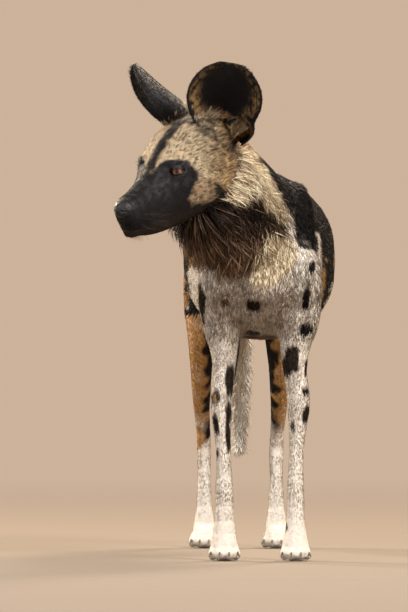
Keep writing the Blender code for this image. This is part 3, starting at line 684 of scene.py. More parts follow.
lie_field = flattened(raw_lie(skin_places, skin_regions), skin_normals)
for evening in range(EVENINGS):
    total = lie_field.copy()
    for axis in range(3):
        total[:, axis] += np.bincount(skin_edges[:, 0], lie_field[skin_edges[:, 1], axis], len(total))
        total[:, axis] += np.bincount(skin_edges[:, 1], lie_field[skin_edges[:, 0], axis], len(total))
    lie_field = flattened(total, skin_normals)


# The markings, which the skin and all its hair share: black, gold and white in blotches that no two sides
# have alike. Colours are of dry hair. Pixel places are of the photograph's frame, 408 by 612.
BLACK = np.array((0.006, 0.005, 0.006))
CHARCOAL = np.array((0.014, 0.013, 0.015))
SOOT = np.array((0.018, 0.011, 0.008))
BROWN = np.array((0.095, 0.060, 0.040))
# A bluish grey laid over dark hair as a painted sheen, not a hair colour of its own.
PAINTED_SHEEN_GREY = np.array((0.050, 0.050, 0.056))
GREY = np.array((0.340, 0.285, 0.240))
FAWN = np.array((0.400, 0.255, 0.145))
OCHRE = np.array((0.470, 0.290, 0.120))
GOLD = np.array((0.430, 0.250, 0.100))
CREAM = np.array((0.800, 0.670, 0.480))
WHITE = np.array((0.860, 0.800, 0.720))
PINK = np.array((0.420, 0.200, 0.150))

VIEW_FOCAL = IMAGE_HIGH * VIEW_FAR / VIEW_HIGH
PIXELS_A_METRE = VIEW_FOCAL / VIEW_FAR
view_right = np.array((1.0, 0.0, 0.0))
view_ahead = -np.array(view_back)
view_up = np.cross(view_right, view_ahead)


def sighted(places):
    """The pixel of the photograph's frame at which each place shows."""
    way = places - np.array(camera.location)
    far = way @ view_ahead
    return (
        IMAGE_WIDE / 2 + VIEW_FOCAL * (way @ view_right) / far,
        IMAGE_HIGH / 2 - VIEW_FOCAL * (way @ view_up) / far,
    )


def found_at(pixel_x, pixel_y):
    """The place on the skin that shows at a pixel."""
    sideways = view_right * (pixel_x - IMAGE_WIDE / 2)
    upward = view_up * (IMAGE_HIGH / 2 - pixel_y)
    way = Vector(view_ahead * VIEW_FOCAL + sideways + upward).normalized()
    return skin_tree.ray_cast(camera.location, way)[0]


def mottle(places, size, seed):
    """A smooth random field, about -1 to 1, whose blotches are of a given size in metres."""
    picker = np.random.default_rng(seed)
    total = np.zeros(len(places))
    for wave in range(18):
        way = picker.normal(size=3)
        way *= math.pi / size / np.linalg.norm(way) * picker.uniform(0.6, 1.5)
        total += np.sin(places @ way + picker.uniform(0, 2 * math.pi))
    return total / 3.6


def inside(outline, pixels, soft, deep=None):
    """0 outside an outline of pixels and 1 in it, over a margin of soft pixels without and deep within."""
    x, y = pixels
    nearest = np.full(len(x), 1e9)
    crossed = np.zeros(len(x), bool)
    for (ax, ay), (bx, by) in zip(outline, outline[1:] + outline[:1]):
        wide, high = bx - ax, by - ay
        along = np.clip(((x - ax) * wide + (y - ay) * high) / (wide ** 2 + high ** 2), 0, 1)
        nearest = np.minimum(nearest, np.hypot(x - ax - along * wide, y - ay - along * high))
        if high:
            crossed ^= ((ay > y) != (by > y)) & (x < wide * (y - ay) / high + ax)
    return ramp(np.where(crossed, nearest, -nearest), -soft, soft if deep is None else deep)


# The face's outlines, drawn on its near side and mirrored to the other.
FACE_BLACK = [
    (100, 196), (118, 188), (134, 178), (147, 166), (151, 176), (156, 168), (161, 163), (168, 160),
    (178, 159), (187, 161), (193, 166), (199, 176), (195, 184), (192, 192), (188, 200), (196, 205),
    (208, 203), (220, 198), (228, 208), (224, 228), (205, 244), (170, 256), (120, 250), (100, 225),
]
CHEEK = [(190, 176), (216, 180), (222, 196), (202, 207), (184, 203)]
CHEEK_WEDGE = [(214, 182), (223, 188), (232, 199), (222, 203), (216, 196)]
EAR_FOOT = [
    (186, 116), (200, 120), (224, 134), (238, 146), (240, 166), (233, 160), (222, 146), (204, 134),
    (188, 126),
]
OCHRE_FROM, OCHRE_TO = (206, 228), (200, 212)
JAW_FROM, JAW_TOP = (185, 195), (200, 208)

# The outlines on neck and trunk, and the middle of the grey chest with the edges of its half width.
NAPE_CREAM = [
    (235, 152), (248, 148), (263, 163), (272, 182), (270, 200), (256, 194), (242, 198), (231, 202),
    (224, 196), (232, 185), (236, 170),
]
CHEST_CREAM = [
    (266, 224), (280, 231), (295, 246), (298, 258), (289, 273), (277, 284), (262, 289), (249, 284),
    (247, 268), (253, 250), (260, 236),
]
SADDLE = [
    (255, 158), (264, 166), (276, 192), (294, 221), (296, 246), (304, 249), (318, 252), (330, 252),
    (345, 240), (345, 180), (300, 150),
]
FLANK_WHITE = [(188, 272), (193, 264), (199, 272), (199, 318), (193, 318), (190, 286)]
RUFF_TAN = [(260, 192), (270, 197), (284, 209), (295, 224), (284, 224), (272, 214), (262, 203)]
CHEST_MIDDLE, CHEST_HALF = 248, (34, 52)

# Spots seen from the front: pixel, half width and half height in pixels, lean in degrees, colour, parts.
SPOTS = (
    (312, 268, 3.4, 6.8, 6, BLACK, "torso leg"),
    (306, 299, 3.8, 11.0, 8, BLACK, "torso leg"),
    (307, 330, 7.4, 7.6, 30, BLACK, "torso leg"),
    (290, 362, 9.0, 17.5, 16, SOOT, "torso leg"),
    (306, 391, 4.4, 3.8, 0, SOOT, "leg_front"),
    (306, 414, 4.0, 7.5, 14, SOOT, "leg_front"),
    (293, 426, 2.4, 4.6, -8, SOOT, "leg_front"),
    (306, 369, 1.8, 9.0, 8, SOOT, "leg_front"),
    (286, 527, 2.4, 6.5, 0, SOOT, "leg_front"),
    (254, 306, 7.0, 6.6, 0, SOOT, "torso"),
    (226, 303, 4.0, 3.6, 0, BROWN, "torso"),
    (291, 289, 2.0, 1.2, 20, PINK, "torso"),
    (202, 302, 3.6, 20.0, -3, SOOT, "torso leg"),
    (187, 288, 3.6, 5.8, 0, SOOT, "torso"),
    (253, 333, 8.0, 5.0, 8, BLACK, "torso"),
    (215, 398, 5.0, 7.4, 0, SOOT, "leg_front"),
    (215, 399, 2.2, 3.4, 0, GOLD, "leg_front"),
    (216, 424, 3.0, 10.0, -6, SOOT, "leg_front"),
    (217, 454, 1.8, 4.6, 0, SOOT, "leg_front"),
    (230, 381, 4.6, 17.0, 0, SOOT, "leg_front"),
    (229, 412, 3.0, 12.0, -2, SOOT, "leg_front"),
    (228, 440, 2.6, 20.0, -2, SOOT, "leg_front"),
    (334, 259, 2.6, 6.0, 0, GOLD, "torso"),
)

# Where the markings end on the body, in metres from the feet: each is an edge, from its start to its end.
LEFT_HALF = (-0.01, 0.02)
SHOULDER_BACK = (0.070, 0.082)
CHEST_BACK = (-0.01, 0.05)
BELLY_TOP, BELLY_FRONT = (0.372, 0.40), (0.02, 0.06)
SADDLE_RIGHT, SADDLE_FAR = (-0.02, 0.0), 0.12
SADDLE_LOW, SADDLE_FRONT, SADDLE_BACK = (0.505, 0.515), (0.0, 0.03), (0.26, 0.30)
STRIP_MIDDLE, STRIP_HALF, STRIP_LOW, STRIP_TOP = 0.088, (0.010, 0.014), (0.42, 0.43), (0.535, 0.545)
CREAM_BACK = 0.06
RIGHT_WHITE = (0.070, 0.085)
FLANK_FRONT = (0.06, 0.08)
GREY_LEG = (0.10, 0.30)
SPECKS_FRONT, SPECKS_LOW = (0.012, 0.020), (0.08, 0.14)
THIGH_OUTSIDE, THIGH_BACK, THIGH_LOW = (0.056, 0.066), (0.56, 0.60), (0.16, 0.20)
WHITE_FOOT = (0.06, 0.12)
THROAT_TOP = (0.525, 0.565)
NAPE_HEIGHT, NAPE_LEAN, NAPE_EDGE = 0.5528, 0.32, (0.0, 0.02)
BRUSH_TOP, TAIL_BAND_TOP = (0.385, 0.395), (0.44, 0.46)

# The same in the level head's own measure, and on the ears in shares of their length or from their rims.
DARK_HAIRS_FRONT = (-0.02, 0.02)
STRIPE_HALF, STRIPE_LOW, STRIPE_BACK = (0.0080, 0.0120), (0.0, 0.01), (0.115, 0.125)
SNOUT_BACK, SNOUT_LEAN = (-0.034, -0.026), 0.35
SHEEN_LOW, CHIN_TOP = (-0.055, -0.02), (-0.075, -0.065)
RIM_DARK, BAND_DEEP, BAND_THIN_TOP = (0.0012, 0.0040), (0.015, 0.030), 0.62
FOOT_TOP, FOOT_RIM, LOBE_DEEP = (0.22, 0.40), (0.0015, 0.006), (0.011, 0.017)
BACK_RIM, BACK_FOOT = (0.002, 0.010), (0.08, 0.22)

# How much ochre the cup of each ear shows.
EAR_OCHRE = {"ear_left": 1.0, "ear_right": 0.12}


def layered(base, *layers):
    """A colour with others laid over it one by one, each by its share at each place."""
    for colour, share in layers:
        base = base + (colour - base) * np.clip(share, 0, 1)[:, None]
    return base


class Pelt:
    """The coat's colours at many places. Ragged is how far, in pixels, hairs stray over a marking's edge."""

    def __init__(self, places, regions, ragged):
        picker = np.random.default_rng(21)
        self.places = places
        self.regions = regions
        self.local = places - np.array(feet)
        self.head = in_head(places)
        self.left = ramp(self.local[:, 0], *LEFT_HALF)
        self.stray = picker.normal(size=(2, len(places))) * ragged
        self.hairs = picker.normal(size=len(places)) * ragged
        self.pixels = self.frayed(places, 1.0, 0.9, ((0.010, 31), (0.011, 32)))

    def mottle(self, size, seed):
        return mottle(self.places, size, seed)

    def frayed(self, places, by_hairs, by_waves, waves):
        """The pixels of places, strayed by hairs and waves, so that no marking's edge is a clean line."""
        return [
            pixel + by_hairs * stray + by_waves * self.mottle(*wave)
            for pixel, stray, wave in zip(sighted(places), self.stray, waves)
        ]

    def blotches(self):
        """The big blotches of flanks and back: black, with patches of gold and of white."""
        gold = mottle(self.places * (1, 1, 0.75), 0.070, 3) + 0.25 * self.mottle(0.014, 4)
        white = mottle(self.places * (1, 1.2, 0.6), 0.062, 8) + 0.25 * self.mottle(0.012, 9)
        rear = ramp(self.local[:, 1], 0.25, 0.50)
        return layered(
            BLACK,
            (GOLD, ramp(gold + 0.28 * rear, 0.30, 0.42)),
            (BROWN, band(gold, (0.16, 0.30), (0.30, 0.38)) * 0.8),
            (WHITE, ramp(white, 0.52, 0.62)),
        )

    def trunk(self):
        """White shoulders and grey chest in front of the blotches, with the saddle over the left side."""
        x, y, z = self.local.T
        right = 1 - self.left
        front = fade(y + 0.008 * self.mottle(0.03, 14), *SHOULDER_BACK)
        shoulder = layered(WHITE, (GREY, 0.16 + 0.30 * self.mottle(0.02, 5) + 0.15 * self.hairs))
        chest = front * fade(np.abs(self.pixels[0] - CHEST_MIDDLE), *CHEST_HALF) * fade(y, *CHEST_BACK)
        seen = inside(SADDLE, self.pixels, 0.8) * ramp(x, *SADDLE_RIGHT) * (y < SADDLE_FAR)
        over = ramp(z + 0.012 * self.mottle(0.03, 17), *SADDLE_LOW) * self.left
        strip = fade(np.abs(y - STRIP_MIDDLE + 0.004 * self.mottle(0.02, 18)), *STRIP_HALF) * self.left
        flank = inside(FLANK_WHITE, self.pixels, 0.7) * right
        return layered(
            self.blotches(),
            (shoulder, front),
            (GREY * 1.5, chest * (0.60 + 0.3 * self.mottle(0.010, 6) + 0.2 * self.hairs)),
            (BROWN * 1.3, fade(z, *BELLY_TOP) * ramp(y, *BELLY_FRONT) * 0.85),
            (BLACK, np.maximum(seen, over * band(y, SADDLE_FRONT, SADDLE_BACK))),
            (WHITE, strip * band(z, STRIP_LOW, STRIP_TOP)),
            (CREAM, inside(CHEST_CREAM, self.pixels, 2.0) * (y < CREAM_BACK)),
            (WHITE, right * front * ramp(np.abs(x), *RIGHT_WHITE)),
            (WHITE, flank * band(y, FLANK_FRONT, SADDLE_BACK)),
        )

    def fore_legs(self):
        """White, greyer higher up, with black specks behind."""
        x, y, z = self.local.T
        grey = 0.10 + 0.25 * self.mottle(0.018, 41) + 0.15 * self.hairs
        specks = ramp(mottle(self.places * (1, 1, 0.6), 0.030, 42), 0.62, 0.70)
        specks = specks * ramp(y, *SPECKS_FRONT) * ramp(z, *SPECKS_LOW)
        return layered(WHITE, (GREY, grey * ramp(z, *GREY_LEG)), (SOOT, specks))

    def hind_legs(self):
        """Black within and gold without, over white hocks, with white blotches behind."""
        x, y, z = self.local.T
        outer = np.abs(x - HIP_SHIFT)
        return layered(
            BLACK,
            (GOLD * 1.35, ramp(outer + 0.006 * self.mottle(0.02, 43), *THIGH_OUTSIDE)),
            (FAWN * 1.7, 0.8 * ramp(self.mottle(0.03, 44), 0.2, 0.5) * ramp(outer, *THIGH_OUTSIDE)),
            (WHITE * 0.85, fade(z + 0.02 * self.mottle(0.03, 45), *THIGH_LOW)),
            (WHITE, ramp(y, *THIGH_BACK) * ramp(self.mottle(0.05, 46), 0.1, 0.3)),
        )

    def neck(self):
        """A sooty throat under a fawn nape, with cream on the left and the saddle's front end."""
        x, y, z = self.local.T
        nape = ramp(z + NAPE_LEAN * y - NAPE_HEIGHT + 0.008 * self.mottle(0.02, 51), *NAPE_EDGE)
        return layered(
            BROWN * 2.6,
            (SOOT * 0.35, ramp(z + 0.01 * self.hairs, *THROAT_TOP)),
            (SOOT * 0.8, 0.5 * ramp(self.mottle(0.016, 52), 0.1, 0.6)),
            (FAWN, nape * (1 - self.left)),
            (CREAM, nape * self.left * 0.7),
            (CREAM * 1.08, inside(NAPE_CREAM, self.pixels, 1.5)),
            (BROWN * 2, 0.6 * ramp(self.mottle(0.008, 53) + 0.5 * self.hairs, 0.7, 1.1)),
            (BLACK, inside(SADDLE, self.pixels, 0.8)),
            (CREAM, inside(CHEST_CREAM, self.pixels, 2.5, 1.5)),
            (CREAM * 0.8, inside(RUFF_TAN, self.pixels, 1.5)),
        )

    def tail(self):
        """Gold at its root, a black band, and a white brush."""
        height = self.local[:, 2] + 0.010 * self.mottle(0.02, 61)
        return layered(WHITE * 1.15, (BLACK, ramp(height, *BRUSH_TOP)), (GOLD, ramp(height, *TAIL_BAND_TOP)))

    def face(self):
        """A black snout and forehead stripe on a pale grizzled face, from its near side mirrored across."""
        x, y, z = self.head.T
        near = moved(np.stack([np.abs(x), y, z], axis=1), head_pose)
        pixels = self.frayed(near, 0.8, 0.5, ((0.007, 71), (0.007, 72)))
        grizzle = 0.5 + 0.35 * self.mottle(0.006, 73) + 0.25 * self.mottle(0.0025, 76)
        ochre = ramp(pixels[0], *OCHRE_FROM) * fade(pixels[1], *OCHRE_TO)
        streaks = mottle(self.places @ np.array(head_pose)[:3, :3] * (1, 0.35, 1), 0.0021, 77)
        dark_hairs = ramp(streaks + 0.65 * self.hairs, 0.35, 0.8) * ramp(y, *DARK_HAIRS_FRONT)
        mask = inside(FACE_BLACK, pixels, 1.0)
        stripe = fade(np.abs(x) + 0.0012 * self.mottle(0.01, 74), *STRIPE_HALF)
        snout = fade(y - SNOUT_LEAN * z + 0.003 * self.mottle(0.02, 75), *SNOUT_BACK)
        dark = np.maximum(snout, mask)
        # Painted sheen: bluish grey highlight streaks over the black of the face, above its lower part.
        painted_sheen = ramp(self.mottle(0.007, 78) + 0.5 * self.hairs, 0.1, 1.2) * ramp(z, *SHEEN_LOW)
        return layered(
            CREAM * 0.66,
            (OCHRE * 0.75, 0.10 + 0.35 * grizzle + 0.15 * self.hairs),
            (OCHRE, ochre * (0.55 + 0.3 * grizzle)),
            (FAWN * 0.75, inside(CHEEK, pixels, 3.0) * (0.35 + 0.5 * grizzle)),
            (SOOT * 1.5, 0.85 * dark_hairs),
            (SOOT, inside(EAR_FOOT, pixels, 3.0) * (0.25 + 0.6 * grizzle)),
            (SOOT, inside(CHEEK_WEDGE, pixels, 1.5, 1.0)),
            (SOOT, ramp(pixels[1], *JAW_TOP) * ramp(pixels[0], *JAW_FROM)),
            (CHARCOAL, mask),
            (BLACK, stripe * ramp(z, *STRIPE_LOW) * fade(y, *STRIPE_BACK)),
            (CHARCOAL, snout),
            (BLACK * 0.8, 0.7 * dark),
            (PAINTED_SHEEN_GREY, 0.45 * painted_sheen * dark),
            (SOOT, fade(z, *CHIN_TOP)),
        )

    def ear(self, name):
        """Dark outside and round the rim, with an ochre mottle in the margin of the cup."""
        ear = in_ear(self.places, name)
        height = ear[:, 2] / EAR_LENGTH
        to_rim = ear_half(height) - np.abs(ear[:, 0])
        inner = ear[:, 0] * EAR_INWARD[name] > 0
        mottled = 0.5 + 0.35 * self.mottle(0.008, 81) + 0.3 * self.mottle(0.003, 82)
        margin = ramp(to_rim, *RIM_DARK) * fade(to_rim + 0.006 * mottled, *BAND_DEEP)
        margin = margin * np.where(height > BAND_THIN_TOP, 0.6, 1.0)
        foot = fade(height + 0.08 * mottled, *FOOT_TOP) * ramp(to_rim, *FOOT_RIM) * EAR_OCHRE[name]
        lobe = foot * ~inner * fade(to_rim + 0.004 * mottled, *LOBE_DEEP)
        cup = layered(
            BLACK,
            (OCHRE * 0.62, margin * ramp(mottled + 0.35 * self.hairs, 0.25, 0.95) * EAR_OCHRE[name]),
            (FAWN, foot * inner * (0.2 + 0.5 * mottled + 0.3 * self.hairs)),
            (OCHRE * 0.9, lobe * (0.4 + 0.5 * mottled + 0.3 * self.hairs)),
        )
        # The outside: charcoal hair under a mottled painted sheen, with a black rim and fawn at the foot.
        outside = layered(
            CHARCOAL,
            (PAINTED_SHEEN_GREY, 0.6 * mottled + 0.2 * self.hairs),
            (BLACK, fade(to_rim, *BACK_RIM)),
            (FAWN * 0.7, fade(height, *BACK_FOOT) * (0.3 + 0.5 * mottled)),
        )
        return np.where(ear_back(ear)[:, None], outside, cup)

    def spot(self, spot_x, spot_y, half_wide, half_high, lean, parts):
        """The share of one spot, a leaning ball that is drawn out, at each place of its parts."""
        offset = self.places - np.array(found_at(spot_x, spot_y))
        c, s = math.cos(math.radians(lean)), math.sin(math.radians(lean))
        across = (offset[:, 0] * c - offset[:, 2] * s) * PIXELS_A_METRE / half_wide
        along = (offset[:, 0] * s + offset[:, 2] * c) * PIXELS_A_METRE / half_high
        deep = offset[:, 1] / (0.010 + 0.8 * max(half_wide, half_high) / PIXELS_A_METRE)
        edge = 0.14 * self.mottle(0.012, spot_x) + self.stray[0] * 0.06
        share = fade(np.sqrt(across ** 2 + along ** 2 + deep ** 2) + edge, 0.92, 1.08)
        return share * is_in(self.regions, *parts.split())

    def colours(self):
        """The colours of all the parts, each on its own places, with the spots laid over them."""
        colour = self.trunk()
        parts = {
            "leg_front": self.fore_legs(),
            "leg_hind": self.hind_legs(),
            "neck": self.neck(),
            "tail": self.tail(),
            "head": self.face(),
            "ear_left": self.ear("ear_left"),
            "ear_right": self.ear("ear_right"),
        }
        for part, tones in parts.items():
            colour = np.where(is_in(self.regions, part)[:, None], tones, colour)
        white_feet = is_in(self.regions, "leg") * fade(self.local[:, 2], *WHITE_FOOT) * 0.7
        spots = [(tone, self.spot(*shape, parts)) for *shape, tone, parts in SPOTS]
        return layered(colour, (WHITE * 0.85, white_feet), *spots)


# The finish of skin and hair: dry and dull, in the pelt's own colour at each point, which fine noise breaks
# up into strands.
fur_finish = Finish("coat", Roughness=0.55, Specular_IOR_Level=0.15)
pelt_tone = fur_finish.node("Attribute", {"attribute_name": "pelt"})
strands = fur_finish.noise(420.0, 3.0)
STRAND_SHADE = 0.45
darker = fur_finish.mix(STRAND_SHADE, pelt_tone, (0.0, 0.0, 0.0, 1))
fur_finish.feed("Base Color", fur_finish.mix(strands, darker, pelt_tone))
fur_finish.feed("Roughness", strands * 0.25 + 0.5)
fur_finish.feed("Normal", fur_finish.node("Bump", Strength=0.35, Distance=0.0006, Height=strands))


def colour_points(mesh, colours):
    """Stores a colour at each point of a mesh, for the finish to read."""
    layer = mesh.attributes.new("pelt", "FLOAT_COLOR", "POINT")
    rows = np.ones((len(colours), 4), np.float32)
    rows[:, :3] = colours
    layer.data.foreach_set("color", rows.ravel())


# Painted shade: the skin takes the pelt's colours a little darker, as shaded by the coat over it.
SKIN_PAINTED_SHADE = 0.88
colour_points(skin.data, Pelt(skin_places, skin_regions, 0.0).colours() * SKIN_PAINTED_SHADE)
skin.data.materials.clear()
skin.data.materials.append(fur_finish.material)
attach(skin, "root")
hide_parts(*SHORT_COATED, *LONG_COATED)


# The short coat: flat tapered tufts that lie along the body, each of three corners, rooted just under the
# skin. They are shortest on the face, ears and feet.
corner = skin_places[skin_faces]
face_area = np.linalg.norm(np.cross(corner[:, 1] - corner[:, 0], corner[:, 2] - corner[:, 0]), axis=1) / 2
face_middle = corner.mean(axis=1)
face_region = skin_regions[skin_faces[:, 0]]
UV_PATCH = 0.003


def blended(values, picked, weights):
    """Values at the skin's points, blended at places inside its triangles."""
    return (values[skin_faces[picked]] * weights[:, :, None]).sum(axis=1)


def rooted(chances, count, seed):
    """Random places on the skin, by the chance of each triangle: place, normal, lie and unwrap."""
    picker = np.random.default_rng(seed)
    share = chances * face_area
    picked = picker.choice(len(share), count, p=share / share.sum())
    weights = picker.dirichlet((1, 1, 1), count)
    normals = blended(skin_normals, picked, weights)
    normals /= np.linalg.norm(normals, axis=1, keepdims=True)
    return {
        "place": blended(skin_places, picked, weights),
        "normal": normals,
        "lie": flattened(blended(lie_field, picked, weights), normals),
        "uv": (skin_uvs[picked] * weights[:, :, None]).sum(axis=1),
        "region": face_region[picked],
        "picker": picker,
    }


SOFT_EDGE = 0.010
box_low = np.array(cad_low) + (0.0004, 0.0004, 0.0002)
box_high = np.array(cad_high) - 0.0004


def bent_back(reach, wall):
    """Reaches towards a wall, bent back softly over the last stretch before it."""
    past = reach - (wall - SOFT_EDGE)
    return np.where(past > 0, wall - SOFT_EDGE * np.exp(-np.maximum(past, 0) / SOFT_EDGE), reach)


def kept_in(points):
    """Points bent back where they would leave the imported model's box, and none below the floor."""
    for axis in range(3):
        points[:, axis] = bent_back(points[:, axis], box_high[axis])
    for axis in range(2):
        points[:, axis] = -bent_back(-points[:, axis], -box_low[axis])
    points[:, 2] = np.maximum(points[:, 2], box_low[2])
    return points


def tuft_faces(steps):
    """The triangles of one tuft: three sides up its steps, its tip and its foot."""
    sides = ((0, 2), (2, 1), (1, 0))
    faces = []
    for foot in range(0, 3 * steps - 3, 3):
        for i, j in sides:
            faces += [(foot + i, foot + j, foot + 3 + j), (foot + i, foot + 3 + j, foot + 3 + i)]
    top = 3 * steps - 3
    faces += [(top + i, top + j, top + 3) for i, j in sides]
    return np.array(faces + [(0, 1, 2)])


def coat_piece(name, points, faces, uvs, colours, finish):
    """An object of the coat from its points, triangles, and patches and colours of its points."""
    mesh = bpy.data.meshes.new(name)
    mesh.vertices.add(len(points))
    mesh.vertices.foreach_set("co", points.astype(np.float32).ravel())
    mesh.loops.add(faces.size)
    mesh.loops.foreach_set("vertex_index", faces.astype(np.int32).ravel())
    mesh.polygons.add(len(faces))
    mesh.polygons.foreach_set("loop_start", np.arange(0, faces.size, 3, dtype=np.int32))
    mesh.polygons.foreach_set("use_smooth", np.ones(len(faces), bool))
    mesh.update(calc_edges=True)
    layer = mesh.uv_layers.new(name="OFBake")
    layer.data.foreach_set("uv", uvs[faces.ravel()].astype(np.float32).ravel())
    colour_points(mesh, colours)
    mesh.materials.append(finish.material)
    piece = new_piece(name, mesh)
    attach(piece, "root")


# How much tufts differ in size and rise. Along a tuft: how far up it its colour is looked up, how much
# painted shade darkens its root, as the shadow of the hair around it, how far up that painted shade goes,
# and how deep it is rooted. Last, the brightness of dark hair.
TUFT_SIZES = (0.72, 1.25)
TUFT_RISES = (0.5, 1.5)
SEEN_AT = 0.45
ROOT_PAINTED_SHADE = 0.38
ROOT_END = 0.4
ROOT_DEPTH = 0.0006
DARK_HAIR = (0.06, 0.24)


def tufts(
    name, roots, length, width, thick, lift, sag, steps, swing, tips, sizes=1, tone=None, tip_tone=None,
    finish=fur_finish, clumping_and_root_shade=1.0
):
    """A coat piece: tapered three-sided tufts, bent along their steps from their roots, as one mesh."""
    picker = roots["picker"]
    place, normal = roots["place"], roots["normal"]
    count = len(place)
    size = picker.uniform(*TUFT_SIZES, count) * sizes
    turn = picker.normal(0, math.radians(swing), count)[:, None]
    way = roots["lie"] * np.cos(turn) + np.cross(roots["lie"], normal) * np.sin(turn)
    across = np.cross(way, normal)
    rise = lift * picker.uniform(*TUFT_RISES, count)
    seen = place + way * (length * size * SEEN_AT)[:, None]
    root_colour = Pelt(seen, roots["region"], 1.0).colours() if tone is None else np.tile(tone, (count, 1))
    dark = fade(root_colour.max(axis=1), *DARK_HAIR)
    tip_colour = root_colour if tip_tone is None else layered(root_colour, (tip_tone, dark))
    tip_share = (picker.uniform(0, 1, count) ** 1.4)[:, None]
    clumps = clumping_and_root_shade * (0.20 * mottle(seen, 0.009, 91) + 0.14 * mottle(seen, 0.0045, 92))
    shade = np.clip(picker.normal(1.0, 0.18 * clumping_and_root_shade + 0.25 * dark) * (1 + clumps), 0.25, 1.8)[:, None]
    points, patches, tints = [], [], []
    for step in range(steps + 1):
        share = step / steps
        wide = (width * size * (1 - share ** 1.6) * (0.75 + 0.6 * share))[:, None]
        along = (length * size * share)[:, None]
        above = (length * size * rise * (share - 0.55 * share ** 2) - ROOT_DEPTH * (1 - share))[:, None]
        centre = place + way * along + normal * above
        centre[:, 2] -= length * size * sag * share ** 2
        tint = (root_colour + (tip_colour - root_colour) * tip_share * share ** 2) * shade
        # Painted shade: each tuft is darkened towards its root, as if shaded by the hair around it.
        tint = tint * (1 - ROOT_PAINTED_SHADE * clumping_and_root_shade * (1 - min(1, share / ROOT_END)))
        tint = tint * (1 + (tips - 1) * share ** 2)
        patch = roots["uv"] + np.array((0, UV_PATCH * (share - 0.5)))
        if step == steps:
            points.append(centre)
            patches.append(patch)
            tints.append(tint)
            break
        ridge = centre + normal * (thick * size * (1 - 0.6 * share))[:, None]
        points += [centre - across * wide / 2, centre + across * wide / 2, ridge]
        patches += [patch - (UV_PATCH / 2, 0), patch + (UV_PATCH / 2, 0), patch]
        # Painted shade: the two lower corners of each step, against the skin, are a tenth darker than its
        # ridge.
        tints += [tint * 0.9, tint * 0.9, tint]
    faces = tuft_faces(steps)[None] + (np.arange(count) * len(points))[:, None, None]
    colours = np.clip(np.stack(tints, axis=1).reshape(-1, 3), 0.002, 0.95)
    coat_piece(
        name,
        kept_in(np.stack(points, axis=1).reshape(-1, 3)),
        faces.reshape(-1, 3),
        np.stack(patches, axis=1).reshape(-1, 2),
        colours,
        finish,
    )


def faces_of(part):
    """1 at each triangle of the skin that lies on a part of the body, and 0 elsewhere."""
    return is_in(face_region, part).astype(float)


def clear_of(node, reach):
    """1 at each triangle of the skin that is clear of a small node, and 0 near it."""
    return ramp(np.linalg.norm(face_middle - np.array(middle(node)), axis=1), *reach)


EYE_CLEAR = (0.0140, 0.0160)
NOSE_CLEAR = (0.0172, 0.0186)
MUZZLE_BACK = (-0.02, 0.03)
left_faces = (face_middle[:, 0] > feet.x + HIP_SHIFT / 2).astype(float)
face_in_head = in_head(face_middle)
muzzle = fade(face_in_head[:, 1], *MUZZLE_BACK)
head_faces = faces_of("head")
eyeless = head_faces * clear_of("eye_left", EYE_CLEAR) * clear_of("eye_right", EYE_CLEAR)

SHORT = dict(lift=0.26, sag=0.0, steps=1, swing=13, tips=1.15)
# The legs' flat coat has weaker clumps and a lighter painted shade at its tufts' roots.
FLAT = dict(SHORT, lift=0.13, width=0.0015, thick=0.0004, clumping_and_root_shade=0.35)
ANKLE_SHORT = (0.03, 0.12)
SKULL_LONG = (0.02, 0.10)
for side, share, seed in (("left", left_faces, 101), ("right", 1 - left_faces, 102)):
    trunk_roots = rooted(faces_of("torso") * share, count=44000, seed=seed)
    tufts("coat_trunk_" + side, trunk_roots, length=0.0125, width=0.0019, thick=0.0008, **SHORT)
for pair, length, seed in (("front", 0.0072, 103), ("hind", 0.0085, 104)):
    leg_roots = rooted(faces_of("leg_" + pair), count=44000, seed=seed)
    low = fade(leg_roots["place"][:, 2], *ANKLE_SHORT)
    tufts("coat_legs_" + pair, leg_roots, length, sizes=1 - 0.45 * low, **FLAT)
face_roots = rooted(eyeless * clear_of("nose", NOSE_CLEAR) * (muzzle + 0.15), count=40000, seed=105)
tufts("coat_face", face_roots, length=0.0038, width=0.0008, thick=0.0003, **SHORT)
skull_roots = rooted(eyeless * (1.1 - muzzle), count=36000, seed=106)
longer = 0.75 + 0.7 * ramp(in_head(skull_roots["place"])[:, 1], *SKULL_LONG)
tufts("coat_skull", skull_roots, length=0.0085, width=0.0010, thick=0.0004, sizes=longer, **SHORT)
ear_roots = rooted(faces_of("ear"), count=30000, seed=107)
tufts("coat_ears", ear_roots, length=0.0072, width=0.0009, thick=0.0003, **SHORT)

# The long hair of the throat and neck, and the brush of the tail: finer locks of more steps, which hang from
# their roots and stand out furthest on the neck's far side.
LONG = dict(thick=0.0010, sag=0.12, steps=3, swing=17, tips=1.15)
RUFF_TIP = np.array((0.460, 0.330, 0.220))
RUFF_HANG = (-0.25, 0.55)
RUFF_LOW = (0.50, 0.60)
RUFF_DARK = (0.52, 0.57)
RUFF_EDGE = (-0.125, -0.090)
for side, share, seed in (("left", left_faces, 108), ("right", 1 - left_faces, 110)):
    ruff_roots = rooted(faces_of("neck") * share, count=10000, seed=seed)
    x, y, z = (ruff_roots["place"] - np.array(feet)).T
    hang = fade(ruff_roots["normal"][:, 2], *RUFF_HANG)
    sizes = (0.38 + 0.62 * hang) * (0.75 + 0.8 * fade(z, *RUFF_LOW))
    lift = 0.34 + 0.75 * fade(x, *RUFF_EDGE)
    tip_tone = layered(SOOT, (RUFF_TIP, fade(z, *RUFF_DARK)))
    tufts("ruff_" + side, ruff_roots, 0.052, 0.0024, lift=lift, sizes=sizes, tip_tone=tip_tone, **LONG)
brush_roots = rooted(faces_of("tail"), count=9000, seed=109)
# The brush has weaker clumps and a lighter painted shade at its tufts' roots.
tufts("brush", brush_roots, length=0.026, width=0.0022, lift=0.06, clumping_and_root_shade=0.5, **LONG)


